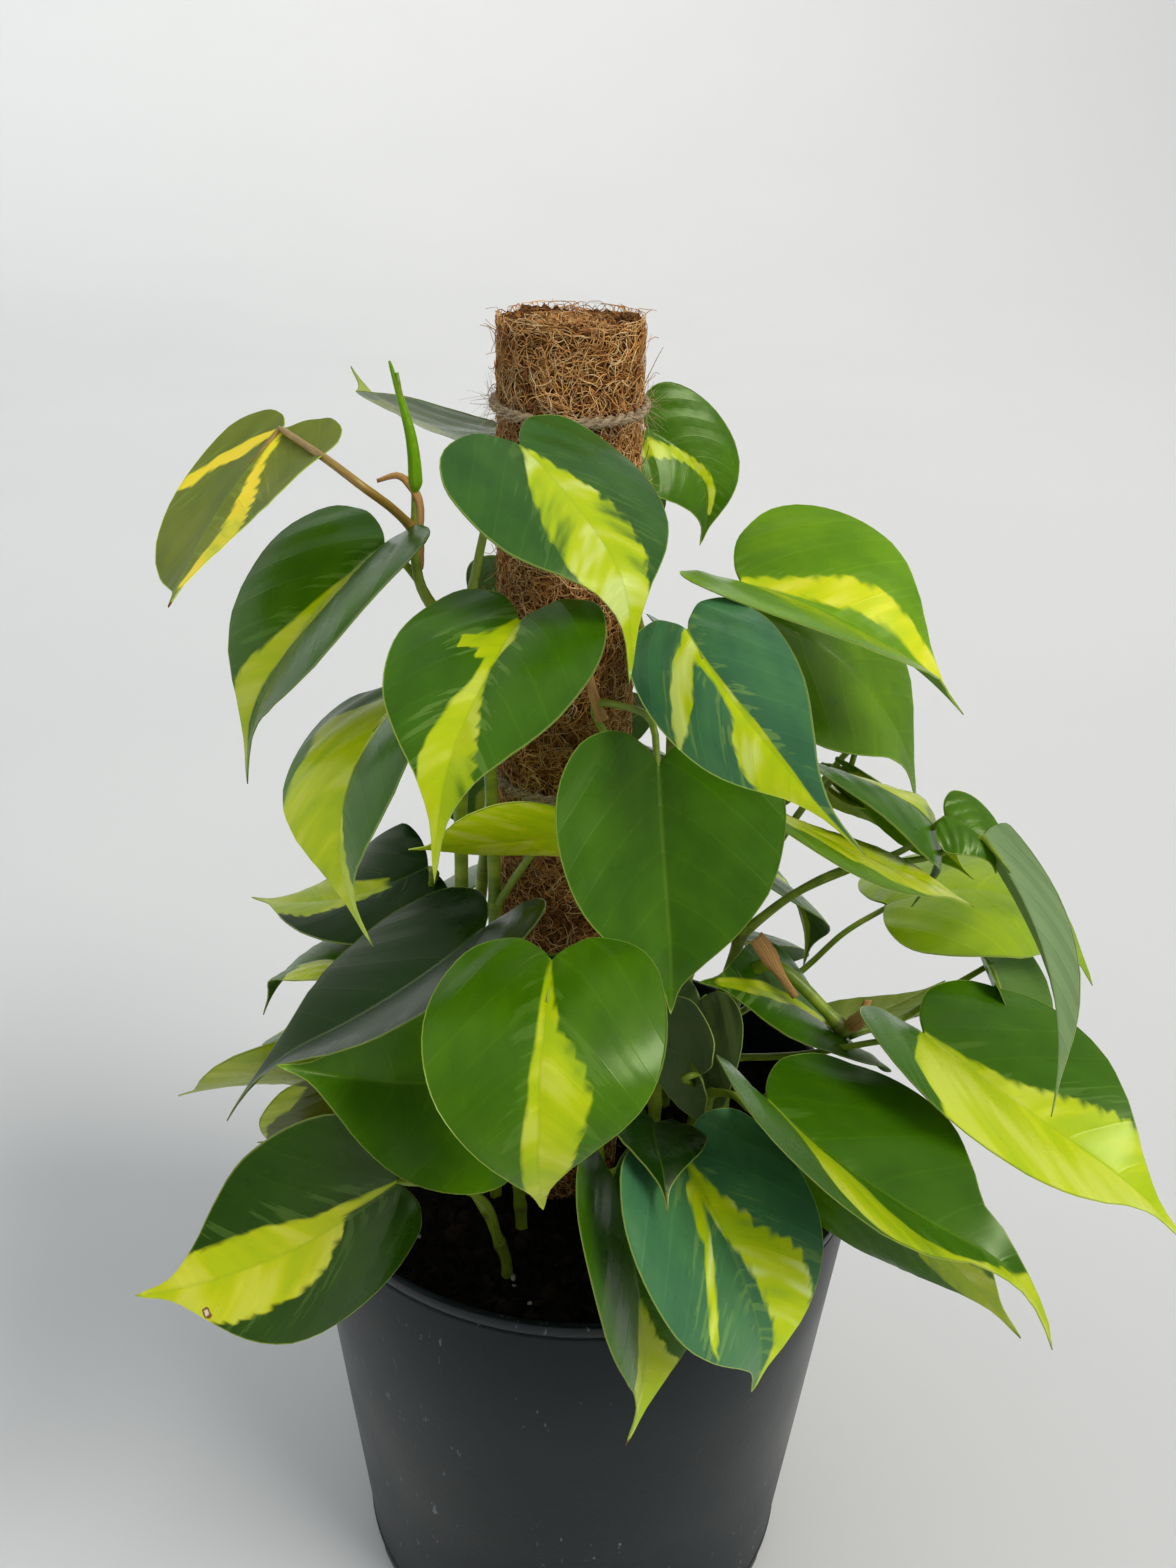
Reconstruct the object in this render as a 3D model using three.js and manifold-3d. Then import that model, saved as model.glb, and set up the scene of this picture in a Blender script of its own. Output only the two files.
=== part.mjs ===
// Brasil philodendron in a nursery pot, trained up a coir pole.
// Units are millimetres, +Z is up, +X is to the right and the front of the plant faces -Y.
import * as THREE from 'three';
import Module from 'manifold-3d';

const kernel = await Module();
kernel.setup();
const { Manifold, Mesh } = kernel;

// Pot
const POT_HEIGHT = 191;
const POT_FOOT_RADIUS = 82.5;
const POT_RIM_RADIUS = 100;
const POT_WALL = 2;
const POT_FLOOR = 2.4;
const POT_FOOT_STEP = 7;
const POT_RIM_GROOVE = 5;
const POT_GROOVE_DEPTH = 0.6;
const POT_LIP = 0.8;
const POT_SHELF_DEPTH = 12;
const POT_SHELF = 1;
const POT_SIDES = 32;
const DRAIN_COUNT = 8;
const DRAIN_WIDTH = 13;
const DRAIN_HEIGHT = 5;

// Soil
const SOIL_TOP = 168;
const SOIL_GAP = 0.8;
const SOIL_SIDES = 24;
const SOIL_RINGS = 3;
const SOIL_ROUGHNESS = 1.3;
const SOIL_FOOT_INSET = 9;
const SOIL_FOOT_RISE = 8;
const SOIL_EDGE_INSET = 2;
const SOIL_EDGE_DROP = 3;
const STEM_DEPTH = 16;
const STEM_HOLE_GAP = 0.72;
const HOLE_SIDES = 6;

// Pole
const POLE_X = -8.4;
const POLE_Y = 0;
const POLE_TOP = 471;
const POLE_FOOT = 12;
const POLE_RADIUS = 20.3;
const POLE_LAP = 1.6;
const POLE_SIDES = 32;
const LAP_ANGLE = 2.4;
const POLE_CUP = 3;
const POLE_CUP_RADIUS = 16.3;
const STAKE_RADIUS = 9;
const STAKE_TOP = 440;
const STAKE_SIDES = 16;
const FIT_GAP = 0.4;

// Jute ties, each a ring round the pole
const TIE_HEIGHTS = [447, 421, 331];
const TIE_RADIUS = 1.5;
const TIE_SIDES = 16;
const TWINE_SIDES = 5;

// Leaves and stems
const BLADE_THICKNESS = 0.7;
const BLADE_COLUMNS = 2;
const BLADE_ROWS = 8;
const LOBE_SWEEP = 0.16;
const PETIOLE_SIDES = 5;
const STEM_SIDES = 5;
const PETIOLE_BASE_RADIUS = 1.5;
const PETIOLE_TIP_RADIUS = 1.05;
const STALK_LAP = 2.5;
const STALK_STEP = 20;
const STEM_STEP = 38;
const STALK_SINK = 1.2;
const STALK_LIFT = 0.08;
const STALK_HANG = 0.16;
const STALK_BACK = 0.05;
const STEM_TIP_SHARE = 0.7;
const CREASE_SIZE = 0.15;
const SHOULDER = 0.78;
const CURL_START = 0.62;
const TWIST_PIVOT = 0.3;
const FOLD_SOFTNESS = 0.04;
const EDGE_DROOP = 0.18;

// Half of a heart-shaped blade: how far along the midrib, and how far out, as shares of length and half width
const OUTLINE = [
  [0, 0], [-0.06, 0.1], [-0.115, 0.28], [-0.13, 0.5], [-0.075, 0.77], [0.06, 0.95], [0.22, 1],
  [0.39, 0.945], [0.54, 0.81], [0.67, 0.57], [0.78, 0.29], [0.88, 0.085], [1, 0.01],
];

const COLOURS = {
  leaf: 0x2f7a1c,
  pot: 0x23292e,
  soil: 0x241a14,
  coir: 0x8a5a34,
  jute: 0xb59a6c,
  stake: 0xa98a5c,
};

// A leaf is given by where its stalk leaves the stem (a share of the stem's length), its joint with the
// stalk, its tip, the way its upper face looks (azimuth from the front, elevation), its width and its shape.
const leaf = (at, joint, tip, faces, width, shape = {}) => ({ at, joint, tip, faces, width, ...shape });

// A leaf on the far side, given round the pole: azimuth, reach, height of the joint, length and droop.
function hanging(at, azimuth, reach, height, length, droop, width, shape = {}) {
  const turn = THREE.MathUtils.degToRad(azimuth);
  const tilt = THREE.MathUtils.degToRad(droop);
  const yaw = THREE.MathUtils.degToRad(azimuth + (shape.yaw ?? 0));
  const joint = [POLE_X + reach * Math.sin(turn), -reach * Math.cos(turn), height];
  const run = length * Math.cos(tilt);
  const drop = length * Math.sin(tilt);
  const tip = [joint[0] + run * Math.sin(yaw), joint[1] - run * Math.cos(yaw), height - drop];
  return leaf(at, joint, tip, [azimuth + (shape.yaw ?? 0), 90 - droop], width, shape);
}

const VINES = [
  {
    name: 'vine_left_high',
    stem: [[-42, -10, 240], [-40, -19, 330], [-42, -25, 385], [-50, -24, 401], [-51, -20, 430],
      [-55, -18, 458]],
    foot: [-44, -4],
    radius: 2.2,
    tipRadius: 0.5,
    leaves: [
      leaf(0.58, [-52, -58, 379], [-60, -98, 326], [-54, 28], 58, {
        fold: 16, arch: 14, sway: -3, twist: 4, curl: 5, lobes: 0.8, drip: 0.05,
      }),
      leaf(0.78, [-60, -22, 411], [-102, -48, 349], [-59, 35], 70, {
        fold: 22, arch: 9, sway: -3, curl: 5, lobes: 0.6, drip: 0.05,
      }),
      leaf(0.86, [-90, -5, 438], [-109, -65, 405], [129, -42], 61, {
        fold: 9, arch: 0, sway: -7, twist: 20, curl: 2, lobes: 0.85,
        via: [[-55.9, -31, 424], [-62.5, -40, 432.6], [-71.7, -34, 437.3], [-82, -18.5, 438.3]],
      }),
    ],
  },
  {
    name: 'vine_centre_high',
    stem: [[-30, -17, 230], [-30, -17, 320], [-33, -22, 380], [-35, -27, 398]],
    foot: [-30, -18],
    radius: 2.1,
    tipRadius: 1.4,
    leaves: [
      leaf(0.55, [-4, -44, 330], [-55, -31, 317], [3, -39], 42, { fold: 2, arch: 0, twist: -6 }),
      leaf(0.85, [-19, -70, 407], [-39, -129, 373], [-18, 53], 53, {
        fold: 16, arch: 5, twist: -7, curl: 16, drip: 0.05,
      }),
      leaf(1, [-20, -46, 446], [15, -88, 408], [39, 50], 59, {
        fold: 5, arch: 3, sway: -2, twist: 3, curl: 16, drip: 0.05,
      }),
    ],
  },
  {
    name: 'vine_right_high',
    stem: [[25, -16, 250], [25, -27, 340], [25, -31, 362], [30, -28, 382]],
    foot: [26, -12],
    radius: 2.2,
    tipRadius: 1.5,
    leaves: [
      leaf(0.76, [19, -56, 360], [26, -87, 297], [18, 25], 66, {
        fold: 27, arch: 1, sway: 1, twist: 2, curl: 6,
        via: [[6.4, -27, 352.1], [0.4, -26, 364.2], [8.7, -36, 368.8], [16.9, -50, 370.4]],
      }),
      leaf(0.88, [25, -55, 400], [66, -109, 365], [-16, 31], 40, {
        fold: 2, arch: 10, sway: 2, twist: 39, curl: 11, drip: 0.04,
      }),
      leaf(0.96, [43, -12, 399], [111, -21, 362], [49, 63], 68, {
        fold: 31, arch: 12, sway: 8, twist: -16, lobes: 0.9, drip: 0.05,
        via: [[36, -22, 388], [42, -16, 394]],
      }),
      leaf(1, [50.6, 6, 382.4], [107.3, 0, 323.5], [44, 38], 66, {
        fold: 6, arch: 10, sway: -3, curl: 3, drip: 0.05,
      }),
    ],
  },
  {
    name: 'vine_right_mid',
    stem: [[42, -10, 230], [50, -20, 285], [50, -18, 320]],
    foot: [40, -4],
    radius: 2.1,
    tipRadius: 1.3,
    leaves: [
      leaf(0.5, [103, 10, 277], [178, 6, 251], [91, 68], 71, {
        fold: 3, arch: 16, sway: -5, twist: 32, curl: 3, lobes: 0.5,
        via: [[75.3, 9, 249], [89.4, 9, 265.9]],
      }),
      leaf(0.78, [119.3, -34, 327.8], [137.5, -84, 263.3], [120, -20], 14, {
        fold: 48, arch: 0, sway: 11, twist: 20, curl: 2, lobes: 0.15,
        via: [[66.2, -20, 298.3], [81.3, -24, 310.2], [103.2, -30, 317.8]],
      }),
      leaf(0.77, [107.8, -30, 332.5], [122.6, -40, 318.5], [30, 40], 22, {
        fold: 4, arch: 2, sway: -3, lobes: 0.6,
        via: [[66.9, -14.5, 294.5], [83, -18.5, 306.5], [98, -25, 318]],
      }),
      leaf(0.86, [84, 6, 329], [129, 4, 290], [-50, -8], 24, {
        fold: 19, arch: 0, sway: -2, twist: -31, curl: 1,
      }),
      leaf(0.94, [55, -40, 337], [116, -47, 313], [107, 49], 47, {
        fold: 6, arch: 0, sway: 5, twist: 18, curl: 2,
      }),
      leaf(0.98, [75, 19, 321], [102, 30, 296], [132, 46], 30, { fold: 2, arch: 0, sway: 1, twist: -37 }),
      leaf(1, [76, -16, 340], [111, -21, 301], [83, 34], 40, {
        fold: 2, arch: 14, sway: 9, twist: 20, curl: 10,
      }),
    ],
  },
  {
    name: 'vine_right_low',
    stem: [[48, -22, 220], [50, -24, 262], [59, -32, 279], [84, -42, 260]],
    foot: [48, -24],
    radius: 2.4,
    tipRadius: 1.9,
    leaves: [
      leaf(0.5, [106, -49, 266], [182, -94, 231], [58, 58], 75, {
        fold: 25, sway: 9, twist: 17, curl: 7, drip: 0.05, via: [[69, -45, 254], [90, -55, 267]],
      }),
      leaf(0.97, [86, -30, 247], [35, -43, 279], [2, 89], 56, { fold: 17, arch: 5, sway: 3, twist: -47 }),
      leaf(0.98, [85, -20, 244], [128, 13, 243], [51, -64], 48, {
        fold: 2, arch: 2, sway: 5, twist: 2, curl: 1,
      }),
      leaf(1, [135, -8, 265], [175, 6, 202], [-108, -24], 66, {
        fold: 2, arch: 0, sway: -8, twist: 42, via: [[101, -35, 261], [117, -20, 261]],
      }),
    ],
  },
  {
    name: 'vine_right_front',
    stem: [[36, -46, 205], [39, -52, 235], [40, -60, 250]],
    foot: [34, -42],
    radius: 2,
    tipRadius: 1.4,
    leaves: [
      leaf(0.7, [68, -65, 226], [130, -111, 203], [-35, -16], 69, {
        fold: 4, arch: 0, sway: -12, twist: 1,
      }),
      leaf(0.86, [35, -73, 267], [8, -43, 254], [133, -11], 36, {
        fold: 12, arch: 5, sway: -3, twist: 5, curl: 3,
      }),
      leaf(0.9, [36, -43, 272], [43, -31, 228], [-45, -19], 40, { arch: 11, sway: -2, twist: 10, curl: 4 }),
      leaf(1, [54, -84, 266], [145, -131, 239], [84, 64], 72, {
        fold: 30, arch: 0, sway: 12, twist: 42, lobes: 0.8, drip: 0.2, trail: [-13, 2, -21],
      }),
    ],
  },
  {
    name: 'vine_front',
    stem: [[4, -36, 225], [-2, -42, 285]],
    foot: [8, -34],
    radius: 2.1,
    tipRadius: 1.5,
    leaves: [
      leaf(0.9, [4, -44, 281], [-25, -45, 281.5], [0, -30], 33, {
        fold: 12, arch: 2, sway: 5, twist: 10, curl: 2,
      }),
      leaf(1, [-9, -99, 323], [-10, -131, 263], [-1, 30], 63, {
        fold: 2, arch: 20, sway: 1, twist: -17, curl: 10,
      }),
    ],
  },
  {
    name: 'vine_front_low',
    stem: [[12, -56, 195], [10, -62, 218]],
    foot: [12, -52],
    radius: 1.9,
    tipRadius: 1.4,
    leaves: [
      leaf(0.8, [21, -88, 261], [25, -122, 263], [58, 69], 30, {
        fold: 19, arch: 3, sway: 3, twist: -1, curl: 5,
      }),
      leaf(0.9, [10, -88, 239], [21, -128, 174], [63, 21], 69, {
        fold: 23, arch: 5, sway: 2, twist: 3, curl: 7, drip: 0.05,
      }),
      leaf(1, [30, -96, 254], [57, -124, 192], [46, 32], 69, {
        fold: 16, arch: 8, sway: 2, twist: 21, curl: 9,
      }),
    ],
  },
  {
    name: 'vine_left_low',
    stem: [[-24, -36, 225], [-26, -38, 270]],
    foot: [-20, -36],
    radius: 2,
    tipRadius: 1.4,
    leaves: [
      leaf(0.8, [-32, -58, 253], [-86, -93, 282], [35, 31], 64, { fold: 30, arch: 9, sway: -3, twist: -4 }),
      leaf(1, [-31, -48, 300], [-113, -81, 265], [-96, 67], 68, {
        fold: 21, arch: 0, sway: -12, twist: -2, curl: 3, drip: 0.11, trail: [6, 3, -13],
      }),
    ],
  },
  {
    name: 'vine_left_back',
    stem: [[-58, 6, 215], [-56, 0, 262], [-50, -8, 295]],
    foot: [-56, 10],
    radius: 2,
    tipRadius: 1.3,
    leaves: [
      leaf(0.5, [-72, -22, 224], [-140, -17, 209], [-1, -38], 62, {
        fold: 2, arch: 0, sway: 8, twist: -30,
      }),
      leaf(0.78, [-75, -28, 273], [-108, -21, 250], [47, 111], 36, {
        fold: 16, sway: 3, twist: -1, curl: 3,
      }),
      leaf(1, [-53, 0, 293], [-114, 6, 276], [-58, 65], 50, {
        fold: 8, arch: 0, sway: -8, twist: 50, lobes: 0.3,
      }),
    ],
  },
  {
    name: 'vine_left_bottom',
    stem: [[-26, -56, 182], [-30, -55, 194]],
    foot: [-24, -56],
    radius: 1.9,
    tipRadius: 1.4,
    leaves: [
      leaf(0.7, [-54, -92, 239], [-123, -125, 226], [35, 9], 70, {
        fold: 2, arch: 4, sway: -4, twist: 50, lobes: 0.35, via: [[-30, -62, 205], [-42, -80, 228]],
      }),
      leaf(1, [-72, -45, 236], [-111, -29, 197], [9, -32], 50, {
        fold: 12, arch: 2, sway: -3, twist: -1, curl: 2,
      }),
    ],
  },
  {
    name: 'vine_back_left',
    stem: [[-40, 26, 240], [-32, 22, 320], [-28, 20, 380]],
    foot: [-42, 30],
    radius: 2.2,
    tipRadius: 1.2,
    leaves: [
      hanging(0.3, -138, 62, 254, 66, 48, 60, { fold: 16, arch: 8, yaw: 6, curl: 5 }),
      hanging(0.55, -160, 58, 302, 68, 58, 60, { fold: 14, arch: 9, yaw: -4, curl: 6 }),
      hanging(0.8, -128, 50, 348, 62, 56, 56, { fold: 18, arch: 8, yaw: 6, curl: 4 }),
      leaf(1, [-31, 28, 431], [-84, 74, 437], [-47, -63], 56, { fold: 7, arch: 5, twist: 6, curl: 4 }),
    ],
  },
  {
    name: 'vine_back',
    stem: [[-10, 40, 240], [-8, 32, 330], [-6, 28, 405]],
    foot: [-12, 46],
    radius: 2.2,
    tipRadius: 1.2,
    leaves: [
      hanging(0.2, 172, 78, 236, 68, 46, 62, { fold: 14, arch: 8, yaw: -6, curl: 6 }),
      hanging(0.5, 178, 64, 326, 70, 62, 62, { fold: 12, arch: 9, yaw: 5, curl: 6 }),
      hanging(0.8, -172, 48, 380, 64, 62, 56, { fold: 18, arch: 8, yaw: -4, curl: 5 }),
      hanging(1, 170, 42, 412, 54, 58, 46, { fold: 16, arch: 6, yaw: 4, curl: 4 }),
    ],
  },
  {
    name: 'vine_back_right',
    stem: [[30, 30, 235], [28, 26, 300], [26, 24, 350]],
    foot: [32, 34],
    radius: 2.2,
    tipRadius: 1.2,
    leaves: [
      hanging(0.2, 134, 78, 238, 66, 46, 60, { fold: 16, arch: 8, yaw: 6, curl: 6 }),
      hanging(0.55, 114, 66, 284, 60, 54, 54, { fold: 14, arch: 8, yaw: -4, curl: 5 }),
      hanging(0.8, 142, 60, 312, 66, 58, 58, { fold: 15, arch: 9, yaw: 4, curl: 6 }),
      hanging(1, 130, 52, 360, 60, 58, 54, { fold: 18, arch: 7, yaw: -5, curl: 4 }),
      leaf(1, [15.3, 30, 432.6], [34, 26, 397.6], [24, 30], 36, {
        fold: 14, arch: 4, sway: -7, curl: 2, via: [[17, 28, 364], [11, 30, 395], [11, 31.5, 422]],
      }),
    ],
  },
  {
    name: 'vine_back_low',
    stem: [[-36, 62, 195], [-40, 66, 212]],
    foot: [-32, 58],
    radius: 2,
    tipRadius: 1.3,
    leaves: [
      hanging(0.7, -158, 84, 200, 60, 32, 56, { fold: 16, arch: 9, yaw: 4, curl: 8 }),
      hanging(1, -114, 80, 208, 60, 38, 54, { fold: 16, arch: 9, yaw: -4, curl: 8 }),
    ],
  },
];

const DEFAULT_SHAPE = { fold: 14, arch: 6, sway: 0, twist: 0, curl: 0, lobes: 1, drip: 0, trail: [0, 0, 0] };

const vector = (point) => new THREE.Vector3(point[0], point[1], point[2]);

// A small repeatable random draw between 0 and 1
function seeded(seed) {
  let state = seed >>> 0;
  return () => {
    state = (Math.imul(state, 1664525) + 1013904223) >>> 0;
    return state / 4294967296;
  };
}

function solidFrom(points, triangles) {
  const mesh = new Mesh({
    numProp: 3,
    vertProperties: Float32Array.from(points.flatMap((p) => [p.x, p.y, p.z])),
    triVerts: Uint32Array.from(triangles.flat()),
  });
  mesh.merge();
  return new Manifold(mesh);
}

function meshFrom(solid, name, colour, roughness, metalness = 0) {
  const raw = solid.getMesh();
  const flat = new THREE.BufferGeometry();
  const points = new Float32Array(raw.numVert * 3);
  for (let i = 0; i < raw.numVert; i += 1) {
    points.set(raw.vertProperties.subarray(i * raw.numProp, i * raw.numProp + 3), i * 3);
  }
  flat.setAttribute('position', new THREE.BufferAttribute(points, 3));
  flat.setIndex(new THREE.BufferAttribute(Uint32Array.from(raw.triVerts), 1));
  flat.computeVertexNormals();
  const material = new THREE.MeshStandardMaterial({ color: colour, roughness, metalness });
  const mesh = new THREE.Mesh(flat, material);
  mesh.name = name;
  return mesh;
}

// A round bar along a list of points, with a radius at each one
function bar(points, radii, sides) {
  const ring = [];
  const corners = [];
  let side = new THREE.Vector3(1, 0, 0);
  points.forEach((point, i) => {
    const ahead = points[Math.min(i + 1, points.length - 1)];
    const behind = points[Math.max(i - 1, 0)];
    const along = ahead.clone().sub(behind).normalize();
    side.addScaledVector(along, -side.dot(along)).normalize();
    const up = along.clone().cross(side);
    ring.push(corners.length);
    for (let k = 0; k < sides; k += 1) {
      const turn = (2 * Math.PI * k) / sides;
      const reach = side.clone().multiplyScalar(Math.cos(turn)).addScaledVector(up, Math.sin(turn));
      corners.push(point.clone().addScaledVector(reach, radii[i]));
    }
  });
  const triangles = [];
  for (let i = 0; i + 1 < points.length; i += 1) {
    for (let k = 0; k < sides; k += 1) {
      const next = (k + 1) % sides;
      const [a, b] = [ring[i] + k, ring[i] + next];
      const [c, d] = [ring[i + 1] + k, ring[i + 1] + next];
      triangles.push([a, b, d], [a, d, c]);
    }
  }
  const last = ring[ring.length - 1];
  for (let k = 1; k + 1 < sides; k += 1) {
    triangles.push([ring[0], ring[0] + k + 1, ring[0] + k]);
    triangles.push([last, last + k, last + k + 1]);
  }
  return solidFrom(corners, triangles);
}

// A smooth run of the outline through its given points
function outlineAt(share) {
  const last = OUTLINE.length - 1;
  const place = Math.min(share * last, last - 1e-6);
  const i = Math.floor(place);
  const t = place - i;
  const pick = (k) => {
    if (k < 0) return OUTLINE[0].map((v, n) => 2 * v - OUTLINE[1][n]);
    if (k > last) return OUTLINE[last].map((v, n) => 2 * v - OUTLINE[last - 1][n]);
    return OUTLINE[k];
  };
  const [p, q, r, s] = [pick(i - 1), pick(i), pick(i + 1), pick(i + 2)];
  return [0, 1].map((n) => 0.5 * (2 * q[n] + (r[n] - p[n]) * t
    + (2 * p[n] - 5 * q[n] + 4 * r[n] - s[n]) * t * t
    + (3 * q[n] - p[n] - 3 * r[n] + s[n]) * t * t * t));
}

// The bent and folded surface of a blade
class Blade {
  constructor(given) {
    Object.assign(this, DEFAULT_SHAPE, given);
    this.base = vector(this.joint);
    this.run = vector(this.tip).sub(this.base);
    this.length = this.run.length();
    this.axis = this.run.clone().normalize();
    const [azimuth, elevation] = this.faces.map(THREE.MathUtils.degToRad);
    const facing = new THREE.Vector3(
      Math.sin(azimuth) * Math.cos(elevation),
      -Math.cos(azimuth) * Math.cos(elevation),
      Math.sin(elevation),
    );
    this.up = facing.addScaledVector(this.axis, -facing.dot(this.axis)).normalize();
    this.side = this.axis.clone().cross(this.up);
  }

  midrib(share) {
    const t = Math.max(0, share);
    const rise = 4 * t * Math.max(0, 1 - t);
    const late = THREE.MathUtils.clamp((t - CURL_START) / (1 - CURL_START), 0, 1) ** 2;
    return this.base.clone()
      .addScaledVector(this.run, share)
      .addScaledVector(this.up, this.arch * rise - this.curl * late)
      .addScaledVector(this.side, this.sway * rise)
      .addScaledVector(vector(this.trail), late);
  }

  // Directions along the midrib, across the blade and out of its upper face
  directions(share) {
    const t = THREE.MathUtils.clamp(share, 0, 1);
    const ahead = this.midrib(t + 0.01);
    const along = ahead.sub(this.midrib(t > 0.02 ? t - 0.01 : t)).normalize();
    const turn = THREE.MathUtils.degToRad(this.twist) * (t - TWIST_PIVOT);
    const out = this.up.clone().multiplyScalar(Math.cos(turn)).addScaledVector(this.side, Math.sin(turn));
    const across = along.clone().cross(out).normalize();
    return { along, across, out: across.clone().cross(along) };
  }

  // The outline share moved to this blade's own lobes and drip tip
  shareAlong(share) {
    if (share < 0) return share * this.lobes;
    const shoulder = SHOULDER * (1 - this.drip);
    if (share <= SHOULDER) return share * (1 - this.drip);
    return shoulder + ((1 - shoulder) * (share - SHOULDER)) / (1 - SHOULDER);
  }

  point(share, reach) {
    const { along, across, out } = this.directions(share);
    const half = this.width / 2;
    const slope = Math.tan(THREE.MathUtils.degToRad(this.fold));
    const soft = Math.hypot(reach, FOLD_SOFTNESS) - FOLD_SOFTNESS;
    const rise = half * (slope * soft - EDGE_DROOP * reach * reach);
    const spine = share < 0
      ? this.base.clone().addScaledVector(along, share * this.length)
      : this.midrib(Math.min(share, 1));
    return spine.addScaledVector(across, reach * half).addScaledVector(out, rise);
  }
}

// One blade as a thin closed solid: a grid over each half, doubled on both faces and walled at the rim
function bladeSolid(given) {
  const blade = new Blade(given);
  const grid = [];
  const places = [];
  const keys = new Map();
  const place = (share, reach) => {
    const key = `${share.toFixed(5)} ${reach.toFixed(5)}`;
    if (!keys.has(key)) {
      keys.set(key, places.length);
      places.push([share, reach]);
    }
    return keys.get(key);
  };
  const faces = [];
  const rims = [];
  for (const sign of [-1, 1]) {
    const rows = [];
    for (let i = 0; i <= BLADE_ROWS; i += 1) {
      const [plain, reach] = outlineAt(i / BLADE_ROWS);
      const share = blade.shareAlong(plain);
      const edge = i === BLADE_ROWS ? 0 : reach;
      const inner = i === BLADE_ROWS ? 1 : THREE.MathUtils.clamp(share - LOBE_SWEEP * edge, 0, 1);
      const row = [];
      for (let k = 0; k <= BLADE_COLUMNS; k += 1) {
        const part = k / BLADE_COLUMNS;
        row.push(place(inner + (share - inner) * part, sign * edge * part));
      }
      rows.push(row);
    }
    for (let i = 0; i < BLADE_ROWS; i += 1) {
      for (let k = 0; k < BLADE_COLUMNS; k += 1) {
        const [a, b] = [rows[i][k], rows[i + 1][k]];
        const [c, d] = [rows[i][k + 1], rows[i + 1][k + 1]];
        for (const face of [[a, d, b], [a, c, d]]) {
          if (new Set(face).size === 3) faces.push(sign < 0 ? face : [face[0], face[2], face[1]]);
        }
      }
    }
    rims.push(rows.map((row) => row[BLADE_COLUMNS]));
  }
  const count = places.length;
  const corners = [];
  for (const level of [0.5, -0.5]) {
    for (const [share, reach] of places) {
      const { out } = blade.directions(share);
      corners.push(blade.point(share, reach).addScaledVector(out, level * BLADE_THICKNESS));
    }
  }
  const triangles = faces.map(([a, b, c]) => [a, c, b]);
  triangles.push(...faces.map(([a, b, c]) => [a + count, b + count, c + count]));
  const loop = [...rims[1], ...rims[0].slice(0, -1).reverse().slice(0, -1)];
  loop.forEach((a, i) => {
    const b = loop[(i + 1) % loop.length];
    triangles.push([a, a + count, b + count], [a, b + count, b]);
  });
  return solidFrom(corners, triangles);
}

// The smooth line of a stem, from the bottom of its hole in the soil to its growing end
function stemCurve(vine) {
  const [x, y] = vine.foot;
  const start = [[x, y, SOIL_TOP - STEM_DEPTH], [x, y, SOIL_TOP + 6]];
  return new THREE.CatmullRomCurve3([...start, ...vine.stem].map(vector), false, 'centripetal');
}

function stemSolid(vine) {
  const curve = stemCurve(vine);
  const steps = Math.max(5, Math.round(curve.getLength() / STEM_STEP));
  const [x, y] = vine.foot;
  const points = [vector([x, y, SOIL_TOP - STEM_DEPTH]), vector([x, y, SOIL_TOP + 2])];
  const radii = [vine.radius, vine.radius];
  for (let i = 1; i <= steps; i += 1) {
    const share = i / steps;
    const point = curve.getPointAt(share);
    if (point.z < SOIL_TOP + 8) continue;
    points.push(point);
    const late = Math.max(0, (share - STEM_TIP_SHARE) / (1 - STEM_TIP_SHARE));
    radii.push(vine.radius + (vine.tipRadius - vine.radius) * late);
  }
  return bar(points, radii, STEM_SIDES);
}

// The stalk of a leaf, from inside the stem to a little way along under the midrib
function petioleSolid(vine, given) {
  const blade = new Blade(given);
  const start = stemCurve(vine).getPointAt(given.at);
  const joint = blade.base;
  const { along, out } = blade.directions(0);
  const end = joint.clone().addScaledVector(along, STALK_LAP).addScaledVector(out, -STALK_SINK);
  const under = joint.clone().addScaledVector(out, -STALK_SINK);
  const reach = joint.distanceTo(start);
  const outward = joint.clone().addScaledVector(out, -STALK_HANG * reach)
    .addScaledVector(along, -STALK_BACK * reach);
  const turn = start.clone().lerp(outward, 0.5);
  turn.z += STALK_LIFT * reach;
  const middle = given.via ? given.via.map(vector) : [turn, outward];
  const curve = new THREE.CatmullRomCurve3([start, ...middle, under], false, 'centripetal');
  const steps = THREE.MathUtils.clamp(Math.round(reach / STALK_STEP), 3, 5);
  const points = [];
  for (let i = 0; i <= steps; i += 1) points.push(curve.getPointAt(i / steps));
  points.push(end);
  const radii = points.map((_, i) => THREE.MathUtils.lerp(
    PETIOLE_BASE_RADIUS, PETIOLE_TIP_RADIUS, i / (points.length - 1)));
  return bar(points, radii, PETIOLE_SIDES);
}

function vineSolids(vine) {
  const solids = [{ label: 'stem', solid: stemSolid(vine) }];
  vine.leaves.forEach((given, i) => {
    solids.push({ label: `stalk ${i}`, solid: petioleSolid(vine, given) });
    solids.push({ label: `blade ${i}`, solid: bladeSolid(given) });
  });
  return solids;
}

// A vine is one body, so any scrap that doesn't hold to it is left off
function vineBody(vine) {
  const whole = Manifold.union(vineSolids(vine).map(({ solid }) => solid)).simplify(CREASE_SIZE);
  const bodies = whole.decompose();
  return bodies.reduce((best, body) => (body.volume() > best.volume() ? body : best));
}

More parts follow.
